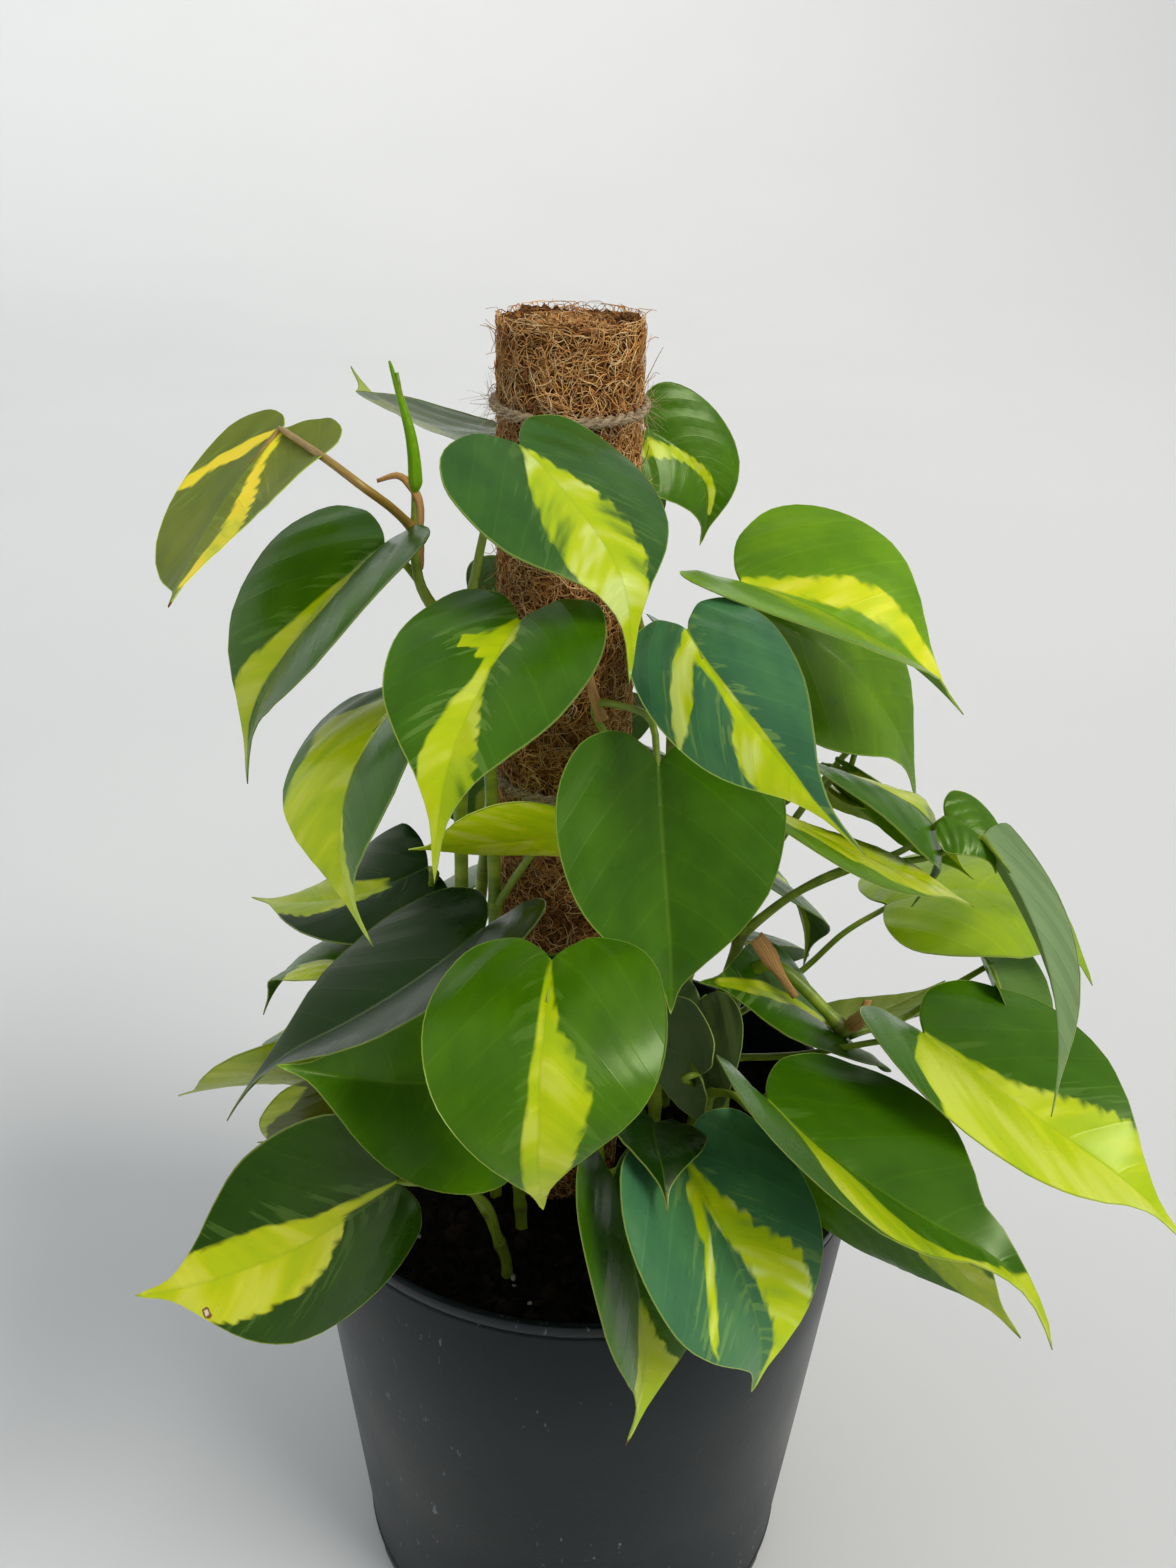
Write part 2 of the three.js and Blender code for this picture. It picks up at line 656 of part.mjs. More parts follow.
// A shape turned round the upright axis, from a profile of radius and height pairs
function turned(profile, sides) {
  const corners = [];
  const triangles = [];
  const rings = profile.map(([radius, height]) => {
    const first = corners.length;
    const count = radius === 0 ? 1 : sides;
    for (let k = 0; k < count; k += 1) {
      const angle = (2 * Math.PI * k) / sides;
      corners.push(new THREE.Vector3(radius * Math.cos(angle), radius * Math.sin(angle), height));
    }
    return { first, count };
  });
  for (let i = 0; i + 1 < rings.length; i += 1) {
    const [low, high] = [rings[i], rings[i + 1]];
    for (let k = 0; k < sides; k += 1) {
      const next = (k + 1) % sides;
      const a = low.first + (low.count === 1 ? 0 : k);
      const b = low.first + (low.count === 1 ? 0 : next);
      const c = high.first + (high.count === 1 ? 0 : k);
      const d = high.first + (high.count === 1 ? 0 : next);
      if (a !== b) triangles.push([a, b, d]);
      if (c !== d) triangles.push([a, d, c]);
    }
  }
  return solidFrom(corners, triangles);
}

function wallRadius(height) {
  return THREE.MathUtils.lerp(POT_FOOT_RADIUS, POT_RIM_RADIUS, height / POT_HEIGHT);
}

// The pot: a straight tapering wall with a fine groove under its lip, and a shelf inside at the soil
function pot() {
  const lip = POT_HEIGHT - POT_LIP;
  const groove = POT_HEIGHT - POT_RIM_GROOVE;
  const shelf = POT_HEIGHT - POT_SHELF_DEPTH;
  const inner = (height) => wallRadius(height) - POT_WALL;
  const body = turned([
    [0, 0],
    [POT_FOOT_RADIUS - POT_LIP, 0],
    [POT_FOOT_RADIUS, POT_LIP],
    [wallRadius(POT_FOOT_STEP), POT_FOOT_STEP],
    [wallRadius(POT_FOOT_STEP + 1) - POT_GROOVE_DEPTH, POT_FOOT_STEP + 1],
    [wallRadius(groove - 1), groove - 1],
    [wallRadius(groove) - POT_GROOVE_DEPTH, groove],
    [wallRadius(groove + 1), groove + 1],
    [wallRadius(lip), lip],
    [POT_RIM_RADIUS - POT_LIP, POT_HEIGHT],
    [POT_RIM_RADIUS - POT_WALL, POT_HEIGHT],
    [inner(lip) - POT_SHELF / 2, lip],
    [inner(shelf) - POT_SHELF, shelf],
    [inner(shelf - 1), shelf - 1],
    [inner(POT_FLOOR), POT_FLOOR],
    [0, POT_FLOOR],
  ], POT_SIDES);
  const slots = [];
  for (let i = 0; i < DRAIN_COUNT; i += 1) {
    const slot = Manifold.cube([8 * POT_WALL, DRAIN_WIDTH, 2 * DRAIN_HEIGHT], true)
      .translate([POT_FOOT_RADIUS, 0, 0])
      .rotate([0, 0, (360 * (i + 0.5)) / DRAIN_COUNT]);
    slots.push(slot);
  }
  return body.subtract(Manifold.union(slots));
}

// The soil fills the pot, with a rough top and a plain hole for the pole and for each stem
function soil() {
  const draw = seeded(7);
  const fill = (height) => wallRadius(height) - POT_WALL - SOIL_GAP;
  const foot = POT_FLOOR + SOIL_GAP;
  const side = foot + SOIL_FOOT_RISE;
  const edge = SOIL_TOP - SOIL_EDGE_DROP;
  const profile = [[0, foot], [fill(foot) - SOIL_FOOT_INSET, foot], [fill(side), side], [fill(edge), edge]];
  for (let i = 0; i < SOIL_RINGS; i += 1) {
    const radius = (fill(SOIL_TOP) - SOIL_EDGE_INSET) * (1 - i / SOIL_RINGS);
    profile.push([radius, i > 0 ? SOIL_TOP + 1 : SOIL_TOP]);
  }
  profile.push([0, SOIL_TOP + 1]);
  const body = turned(profile, SOIL_SIDES).warp((point) => {
    if (point[2] < edge + 1) return;
    point[2] += (draw() - 0.5) * 2 * SOIL_ROUGHNESS;
  });
  const holes = VINES.map((vine) => {
    const [x, y] = vine.foot;
    const radius = vine.radius + STEM_HOLE_GAP;
    return Manifold.cylinder(2 * STEM_DEPTH, radius, radius, HOLE_SIDES)
      .translate([x, y, SOIL_TOP - STEM_DEPTH - FIT_GAP]);
  });
  const poleRadius = POLE_RADIUS + POLE_LAP + FIT_GAP;
  const poleHole = Manifold.cylinder(POT_HEIGHT, poleRadius, poleRadius, POLE_SIDES)
    .translate([POLE_X, POLE_Y, POLE_FOOT - FIT_GAP]);
  return body.subtract(Manifold.union([...holes, poleHole]));
}

// The coir sleeve: a mat rolled once round, so its rim steps out where the ends lap
function sleeve() {
  const outline = [];
  for (let k = 0; k < POLE_SIDES; k += 1) {
    const share = k / (POLE_SIDES - 1);
    const angle = (2 * Math.PI * k) / POLE_SIDES + LAP_ANGLE;
    const radius = POLE_RADIUS + POLE_LAP * share ** 4;
    outline.push([radius * Math.cos(angle), radius * Math.sin(angle)]);
  }
  const length = POLE_TOP - POLE_FOOT;
  const body = Manifold.extrude([outline], length);
  const cup = Manifold.cylinder(POLE_CUP + 1, POLE_CUP_RADIUS - 2, POLE_CUP_RADIUS, POLE_SIDES)
    .translate([0, 0, length - POLE_CUP]);
  const boreLength = STAKE_TOP + FIT_GAP - POLE_FOOT;
  const bore = Manifold.cylinder(boreLength + 1, STAKE_RADIUS + FIT_GAP, STAKE_RADIUS + FIT_GAP, STAKE_SIDES)
    .translate([0, 0, -1]);
  return body.subtract(cup).subtract(bore).translate([POLE_X, POLE_Y, POLE_FOOT]);
}

function stake() {
  const length = STAKE_TOP - POLE_FOOT;
  return Manifold.cylinder(length, STAKE_RADIUS, STAKE_RADIUS, STAKE_SIDES)
    .translate([POLE_X, POLE_Y, POLE_FOOT]);
}

// A jute tie drawn round the sleeve, a little way off its lap
function tie(height) {
  const reach = POLE_RADIUS + POLE_LAP + FIT_GAP * 2 + TIE_RADIUS;
  const section = [];
  for (let k = 0; k < TWINE_SIDES; k += 1) {
    const angle = (2 * Math.PI * k) / TWINE_SIDES;
    section.push([reach + TIE_RADIUS * Math.cos(angle), TIE_RADIUS * Math.sin(angle)]);
  }
  return Manifold.revolve([section], TIE_SIDES).translate([POLE_X, POLE_Y, height]);
}

const plant = new THREE.Group();
plant.name = 'brasil_philodendron';
plant.add(meshFrom(pot(), 'pot', COLOURS.pot, 0.45));
plant.add(meshFrom(soil(), 'soil', COLOURS.soil, 0.95));
plant.add(meshFrom(sleeve(), 'coir_sleeve', COLOURS.coir, 0.95));
plant.add(meshFrom(stake(), 'pole_stake', COLOURS.stake, 0.8));
const TIE_NAMES = ['tie_upper', 'tie_middle', 'tie_lower'];
TIE_HEIGHTS.forEach((height, i) => plant.add(meshFrom(tie(height), TIE_NAMES[i], COLOURS.jute, 0.9)));
VINES.forEach((vine) => plant.add(meshFrom(vineBody(vine), vine.name, COLOURS.leaf, 0.5)));

export default plant;
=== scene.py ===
import math
import random
from collections import namedtuple

import bpy
import numpy as np
from mathutils import Matrix, Vector


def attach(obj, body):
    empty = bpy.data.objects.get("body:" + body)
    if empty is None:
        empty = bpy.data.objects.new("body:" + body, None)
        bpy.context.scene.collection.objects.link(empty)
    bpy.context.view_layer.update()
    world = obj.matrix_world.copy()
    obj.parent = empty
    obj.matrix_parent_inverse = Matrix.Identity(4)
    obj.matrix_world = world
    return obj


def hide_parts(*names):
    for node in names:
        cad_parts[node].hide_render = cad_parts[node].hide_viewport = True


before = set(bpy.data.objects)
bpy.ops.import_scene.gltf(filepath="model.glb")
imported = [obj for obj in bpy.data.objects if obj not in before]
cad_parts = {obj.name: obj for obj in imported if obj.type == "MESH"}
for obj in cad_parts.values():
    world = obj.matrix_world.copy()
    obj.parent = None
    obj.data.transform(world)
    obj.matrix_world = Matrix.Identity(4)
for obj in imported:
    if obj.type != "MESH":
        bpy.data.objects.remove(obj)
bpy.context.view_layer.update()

MM = 0.001
TURN = 2 * math.pi

# The photograph's camera
IMAGE_LONG_SIDE = 1568
FOCAL_PIXELS = 1500
SENSOR_MM = 36
CAMERA_PLACE = (-0.5, -431, 543)
CAMERA_DOWN = math.radians(26.8)
CAMERA_ROLL = math.radians(1.37)

# Floor
FLOOR_REACH = 2600
FLOOR_BEND = 3400
FLOOR_SIDES = 96
BEND_STEPS = 24
WALL_ABOVE_BEND = 1200

# Pot
POT_HEIGHT = 191
POT_FOOT_RADIUS = 82.5
POT_RIM_RADIUS = 100
POT_WALL = 2
POT_FLOOR = 2.4
POT_RIM_GROOVE = 5
POT_GROOVE_DEPTH = 0.6
POT_SHELF_DEPTH = 12
POT_SIDES = 144
DRAIN_COUNT = 8
DRAIN_WIDTH = 13
DRAIN_HEIGHT = 5

# Soil
SOIL_TOP = 168
SOIL_GAP = 0.8
SOIL_SIDES = 180
SOIL_RINGS = 64
SOIL_ROUGHNESS = 0.7
SOIL_WAVES = 14
CHIP_COUNT = 950
CHIP_SIZES = (0.8, 1.2, 1.6, 2.2, 3.2)
PALE_CHIP_SIZES = (0.7, 1.5)
PALE_CHIP_SHARE = 0.05
STEM_DEPTH = 16

# Pole
POLE_X = -8.4
POLE_TOP = 471
POLE_FOOT = 12
POLE_RADIUS = 20.3
POLE_LAP = 1.6
LAP_ANGLE = 2.4
MAT_SIDES = 150
MAT_ROWS = 150
FIBRE_STEPS = 7
FIBRE_LENGTHS = (5, 15)
FIBRE_RADII = (0.1, 0.2)
STRAY_SHARE = 0.05
TOP_FIBRES = 560
TOP_FIBRE_RADII = (0.1, 0.18)

# Ties: name, height, how far each slants and the seed of its hairs
TIES = (("tie_upper", 447, 0.9, 31), ("tie_middle", 421, 2.4, 32), ("tie_lower", 331, 1.2, 33))
TWINE_STEPS = 210
TWINE_SIDES = 8
TWINE_TWISTS = 17
STRAND_RADIUS = 0.92
STRAND_OFFSET = 0.78
TIE_HAIRS = 330
TIE_HAIR_STEPS = 5
TIE_HAIR_LENGTHS = (2.5, 9)
TIE_HAIR_RADIUS = 0.07

# Leaves and stems
BLADE_THICKNESS = 0.7
BLADE_ROWS = 36
LOBE_SWEEP = 0.16
SHOULDER = 0.78
CURL_START = 0.62
TWIST_PIVOT = 0.3
FOLD_SOFTNESS = 0.04
EDGE_DROOP = 0.18
ACROSS = (0, 0.035, 0.09, 0.18, 0.28, 0.39, 0.5, 0.61, 0.72, 0.82, 0.91, 0.975, 1)
QUILTS = 5
QUILT_HEIGHT = 0.32
VEIN_SLANT = 0.46
VEIN_CURVE = 1.35
MARGIN_WAVE = 0.7
MIDRIB_GROOVE = 0.4
MIDRIB_GROOVE_WIDTH = 0.9
MIDRIB_RIDGE = 0.75
MIDRIB_RIDGE_WIDTH = 1.1
STEM_ROWS = 120
STEM_SCARS = (0.12, 0.24)
NODE_SWELLING = 0.22
NODE_LENGTH = 2.6
SCAR_LENGTH = 1.2
STALK_RADIUS = 1.35
STALK_TAPER = 0.4
STALK_CHANNEL = 0.16
STALK_SIDES = 12
SPIKE_SIDES = 14
SPIKE_ROWS = 50
SHEATH_ROWS = 26
SHEATH_COLUMNS = 13
SHEATH_THICKNESS = 0.3

# Half of a heart-shaped blade: how far along the midrib, and how far out, as shares of length and half width
OUTLINE = (
    (0, 0), (-0.06, 0.1), (-0.115, 0.28), (-0.13, 0.5), (-0.075, 0.77), (0.06, 0.95), (0.22, 1),
    (0.39, 0.945), (0.54, 0.81), (0.67, 0.57), (0.78, 0.29), (0.88, 0.085), (1, 0.01),
)

# Greens of the upper faces, as linear colours. Some hold painted light: shade is darkened with painted shade,
# sunny is lightened with painted sunlight, and sky and the other bluish green carry a painted reflection of a
# bluish sky in their blue.
GREENS = {
    "deep": (0.0065, 0.030, 0.0012),
    "dark": (0.040, 0.128, 0.0008),
    "mid": (0.052, 0.150, 0.0008),
    "bright": (0.095, 0.215, 0.0015),
    "green_with_painted_sky": (0.030, 0.105, 0.014),
    "sky": (0.045, 0.150, 0.060),
    "shade": (0.017, 0.056, 0.0008),
    "sunny": (0.200, 0.320, 0.0015),
    "olive": (0.085, 0.105, 0.0030),
    "lime": (0.360, 0.440, 0.0020),
    "dusty": (0.080, 0.125, 0.040),
    "pale": (0.200, 0.310, 0.110),
}


def unit(v):
    return v / np.linalg.norm(v, axis=-1, keepdims=True)


def smooth_step(value, low, high):
    share = np.clip((value - low) / (high - low), 0, 1)
    return share * share * (3 - 2 * share)


def even_turns(sides):
    return np.linspace(0, TURN, sides, endpoint=False)


def bell(distance, width):
    return np.exp(-((distance / width) ** 2))


def round_axis(radius, angle, height, x=0):
    """Places at a radius, an angle and a height round the upright axis at x."""
    radius, angle, height = np.broadcast_arrays(radius, angle, height)
    return np.stack([x + radius * np.cos(angle), radius * np.sin(angle), height], -1)


def smooth_knots(points):
    """The points with one more at each end, in line with the last two."""
    given = np.array(points, float)
    return np.vstack([2 * given[0] - given[1], given, 2 * given[-1] - given[-2]])


def run_through(points, count):
    """Evenly spaced places on a smooth curve through the points (centripetal, so it never loops)."""
    given = smooth_knots(points)
    dense = []
    for a, b, c, d in zip(given, given[1:], given[2:], given[3:]):
        steps = [max(np.linalg.norm(q - p) ** 0.5, 1e-4) for p, q in ((a, b), (b, c), (c, d))]
        start = (b - a) / steps[0] - (c - a) / (steps[0] + steps[1]) + (c - b) / steps[1]
        end = (c - b) / steps[1] - (d - b) / (steps[1] + steps[2]) + (d - c) / steps[2]
        start, end = start * steps[1], end * steps[1]
        t = np.linspace(0, 1, 24, endpoint=False)[:, None]
        bend = 3 * (c - b) - 2 * start - end
        dense.append(b + start * t + bend * t**2 + (2 * (b - c) + start + end) * t**3)
    dense = np.vstack([*dense, given[-2:-1]])
    length = np.concatenate([[0], np.cumsum(np.linalg.norm(np.diff(dense, axis=0), axis=1))])
    places = np.linspace(0, length[-1], count)
    return np.stack([np.interp(places, length, dense[:, k]) for k in range(3)], -1)


def length_of(points):
    return float(np.linalg.norm(np.diff(points, axis=0), axis=1).sum())


def place_on(line, share):
    i = share * (len(line) - 1)
    low = int(min(i, len(line) - 2))
    return line[low] + (line[low + 1] - line[low]) * (i - low)


def bar_faces(rows, sides):
    """Faces of a closed bar: rows of corners round it, then one corner at its foot and one at its head."""
    foot, head, last = rows * sides, rows * sides + 1, (rows - 1) * sides
    around = [(k, (k + 1) % sides) for k in range(sides)]
    faces = []
    for row in range(0, last, sides):
        faces += [(row + a, row + b, row + b + sides, row + a + sides) for a, b in around]
    for a, b in around:
        faces += [(foot, b, a), (head, last + a, last + b)]
    return faces


def tube(points, radii, sides, first_side=(1, 0, 0), section=None):
    """Corners and faces of a round bar with closed ends. section scales the radius round the bar."""
    points = np.asarray(points, float)
    along = unit(np.vstack([points[1:], points[-1:]]) - np.vstack([points[:1], points[:-1]]))
    side = np.array(first_side, float)
    turns = even_turns(sides)
    scale = np.ones(sides) if section is None else section(turns)
    rings = []
    for point, direction, radius in zip(points, along, radii):
        side = unit(side - direction * (side @ direction))
        up = np.cross(direction, side)
        reach = np.outer(np.cos(turns), side) + np.outer(np.sin(turns), up)
        rings.append(point + reach * (radius * scale)[:, None])
    return np.vstack([*rings, points[:1], points[-1:]]), bar_faces(len(points), sides)


def bar_marks(values, sides, ends=(0, 0)):
    """A mark for each corner of a tube: one value a row, and one for each end."""
    return np.concatenate([np.repeat(values, sides), ends])


def sheet_faces(faces, loop, count):
    """Faces of a thin closed sheet: its upper side, its underside and the margin along the loop."""
    under = [tuple(corner + count for corner in face[::-1]) for face in faces]
    return faces + under + [(a, a + count, b + count, b) for a, b in zip(loop, loop[1:] + loop[:1]) if a != b]


def add_object(name, data):
    made = bpy.data.objects.new(name, data)
    bpy.context.scene.collection.objects.link(made)
    return made


def new_mesh(name, corners, faces, materials=()):
    mesh = bpy.data.meshes.new(name)
    mesh.from_pydata((np.asarray(corners) * MM).tolist(), [], faces)
    for material in materials:
        mesh.materials.append(material)
    mesh.polygons.foreach_set("use_smooth", [True] * len(mesh.polygons))
    return mesh


def seat(made, node):
    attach(made, "root")
    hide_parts(node)


class Piece:
    """Gathers corners, faces and per-corner marks, and makes them one mesh object."""

    def __init__(self, name):
        self.name = name
        self.points = []
        self.faces = []
        self.skins = []
        self.marks = {}
        self.count = 0

    def add(self, points, faces, skins=0, **marks):
        """skins and each of the marks may be one value for all."""
        points = np.asarray(points, float).reshape(-1, 3)
        self.points.append(points)
        self.faces += [tuple(int(i) + self.count for i in face) for face in faces]
        self.skins += np.broadcast_to(skins, len(faces)).tolist()
        for key, values in marks.items():
            values = np.asarray(values, float)
            if not values.ndim or len(values) != len(points):
                values = np.broadcast_to(values, (len(points), *values.shape))
            self.marks.setdefault(key, []).append((self.count, values))
        self.count += len(points)

    def make(self, materials, node):
        mesh = new_mesh(self.name, np.concatenate(self.points), self.faces, materials)
        mesh.polygons.foreach_set("material_index", self.skins)
        for key, parts in self.marks.items():
            wide = parts[0][1].ndim > 1
            filled = np.zeros((self.count, 3) if wide else self.count)
            for start, values in parts:
                filled[start:start + len(values)] = values
            attribute = mesh.attributes.new(key, "FLOAT_VECTOR" if wide else "FLOAT", "POINT")
            attribute.data.foreach_set("vector" if wide else "value", filled.ravel())
        mesh.update()
        seat(add_object(self.name, mesh), node)


class Blade:
    """The bent and folded surface of a leaf's blade.

    at is how far up the stem its stalk leaves, joint and tip are the ends of the midrib, faces is the azimuth
    and elevation that its upper face looks to, and green is one of GREENS. A lime band is a run of
    (percent along the midrib, from, to), where from and to are percent of the half width, positive to the
    left of a leaf that hangs with its face to the camera."""

    # Degrees that its halves fold up and that it twists, and millimetres that it arches, sways and curls
    fold = 14
    arch = 6
    sway = 0
    twist = 0
    curl = 0
    # Size of the lobes, how much longer the drip tip is, where the tip trails off, and the stalk's way round
    lobes = 1
    drip = 0
    trail = (0, 0, 0)
    via = None
    # Shares of pale green beside the lime, cream in it, gold in it and dry brown at the tip
    ghost = 0.35
    cream = 0.2
    gold = 0
    dry = 0
    scar = False
    # How ragged the lime's edge is, how pale the underside, how light the whole (partly its own tone, partly
    # painted light that brightens a leaf lying in shade) and how rusty the stalk
    jag = 0.13
    pale = 0.2
    lift = 1
    warm = 0.1

    def __init__(self, at, joint, tip, faces, width, green, lime=(), more_lime=(), **shape):
        self.__dict__.update(shape)
        self.at = at
        self.green = green
        self.bands = [np.array(band) / 100 for band in (lime, more_lime) if band]
        self.half = width / 2
        self.base = np.array(joint, float)
        self.span = np.array(tip, float) - self.base
        self.length = float(np.linalg.norm(self.span))
        self.axis = self.span / self.length
        azimuth, elevation = (math.radians(angle) for angle in faces)
        level = math.cos(elevation)
        facing = np.array((math.sin(azimuth) * level, -math.cos(azimuth) * level, math.sin(elevation)))
        self.up = unit(facing - self.axis * (facing @ self.axis))
        self.side = np.cross(self.axis, self.up)

    def midrib(self, share):
        t = np.clip(share, 0, None)
        rise = (4 * t * np.clip(1 - t, 0, None))[..., None]
        late = (np.clip((t - CURL_START) / (1 - CURL_START), 0, 1) ** 2)[..., None]
        line = self.base + self.span * share[..., None]
        line = line + self.up * (self.arch * rise - self.curl * late) + self.side * (self.sway * rise)
        return line + np.array(self.trail, float) * late

    def directions(self, share):
        t = np.clip(share, 0, 1)
        along = unit(self.midrib(t + 0.01) - self.midrib(np.where(t > 0.02, t - 0.01, t)))
        turn = (math.radians(self.twist) * (t - TWIST_PIVOT))[..., None]
        out = self.up * np.cos(turn) + self.side * np.sin(turn)
        across = unit(np.cross(along, out))
        return along, across, np.cross(across, along)

    def share_along(self, share):
        """The outline share moved to this blade's own lobes and drip tip."""
        shoulder = SHOULDER * (1 - self.drip)
        early = share * np.where(share < 0, self.lobes, 1 - self.drip)
        late = shoulder + (1 - shoulder) * (share - SHOULDER) / (1 - SHOULDER)
        return np.where(share <= SHOULDER, early, late)

    def point(self, share, reach):
        along, across, out = self.directions(share)
        soft = np.sqrt(reach * reach + FOLD_SOFTNESS**2) - FOLD_SOFTNESS
        rise = self.half * (math.tan(math.radians(self.fold)) * soft - EDGE_DROOP * reach * reach)
        back = self.base + along * (share * self.length)[..., None]
        spine = np.where((share < 0)[..., None], back, self.midrib(np.minimum(share, 1)))
        return spine + across * (reach * self.half)[..., None] + out * rise[..., None], out

    def lime_depth(self, share, reach):
        """How far inside the lime bands each place lies, in shares of the half width; negative outside."""
        depth = np.full(share.shape, -2.0)
        for band in self.bands:
            low, high = (np.interp(share, band[:, 0], band[:, column]) for column in (1, 2))
            inside = np.minimum(reach - low, high - reach)
            past = np.maximum(band[0, 0] - share, share - band[-1, 0])
            depth = np.maximum(depth, np.minimum(inside, -2.2 * np.clip(past, 0, None) + 0.02))
        return depth

    def dry_depth(self, share, reach):
        """Brown of a dried tip or a scar: positive where it shows."""
        depth = np.full(share.shape, -1.0)
        if self.dry:
            depth = np.maximum(depth, (share - (1 - 0.05 * self.dry)) * 8)
        if self.scar:
            spot = np.hypot((share - 0.8) / 0.085, (reach + 0.27 + (share - 0.8) * 1.1) / 0.04)
            depth = np.maximum(depth, 1 - spot)
        return depth


def hanging(at, azimuth, reach, height, length, droop, width, green, lime=(), yaw=0, **shape):
    """A leaf on the far side, given round the pole."""
    turn, swing, tilt = (math.radians(angle) for angle in (azimuth, azimuth + yaw, droop))
    x, y = POLE_X + reach * math.sin(turn), -reach * math.cos(turn)
    run = length * math.cos(tilt)
    tip = (x + run * math.sin(swing), y - run * math.cos(swing), height - length * math.sin(tilt))
    return Blade(at, (x, y, height), tip, (azimuth + yaw, 90 - droop), width, green, lime, **shape)


# foot is where a leafy stem stands, stem the places that it runs through, spike a new leaf still rolled up
Vine = namedtuple("Vine", "name foot radius tip_radius stem leaves spike", defaults=(None,))

# Lime bands shared by several leaves
WIDE = ((0, -2, 3), (20, -15, 20), (40, -35, 40), (60, -40, 42), (80, -25, 25), (100, 0, 0))
NARROW = ((0, -2, 2), (20, -10, 6), (45, -28, 8), (70, -25, 12), (100, 0, 0))
LEFT = ((0, 0, 5), (20, 0, 35), (40, -4, 60), (60, -5, 60), (80, -4, 35), (100, 0, 0))
RIGHT = ((0, -5, 0), (20, -30, 2), (40, -60, 4), (60, -60, 5), (80, -35, 4), (100, 0, 0))
WHOLE = ((-20, -120, 120), (100, -100, 100))

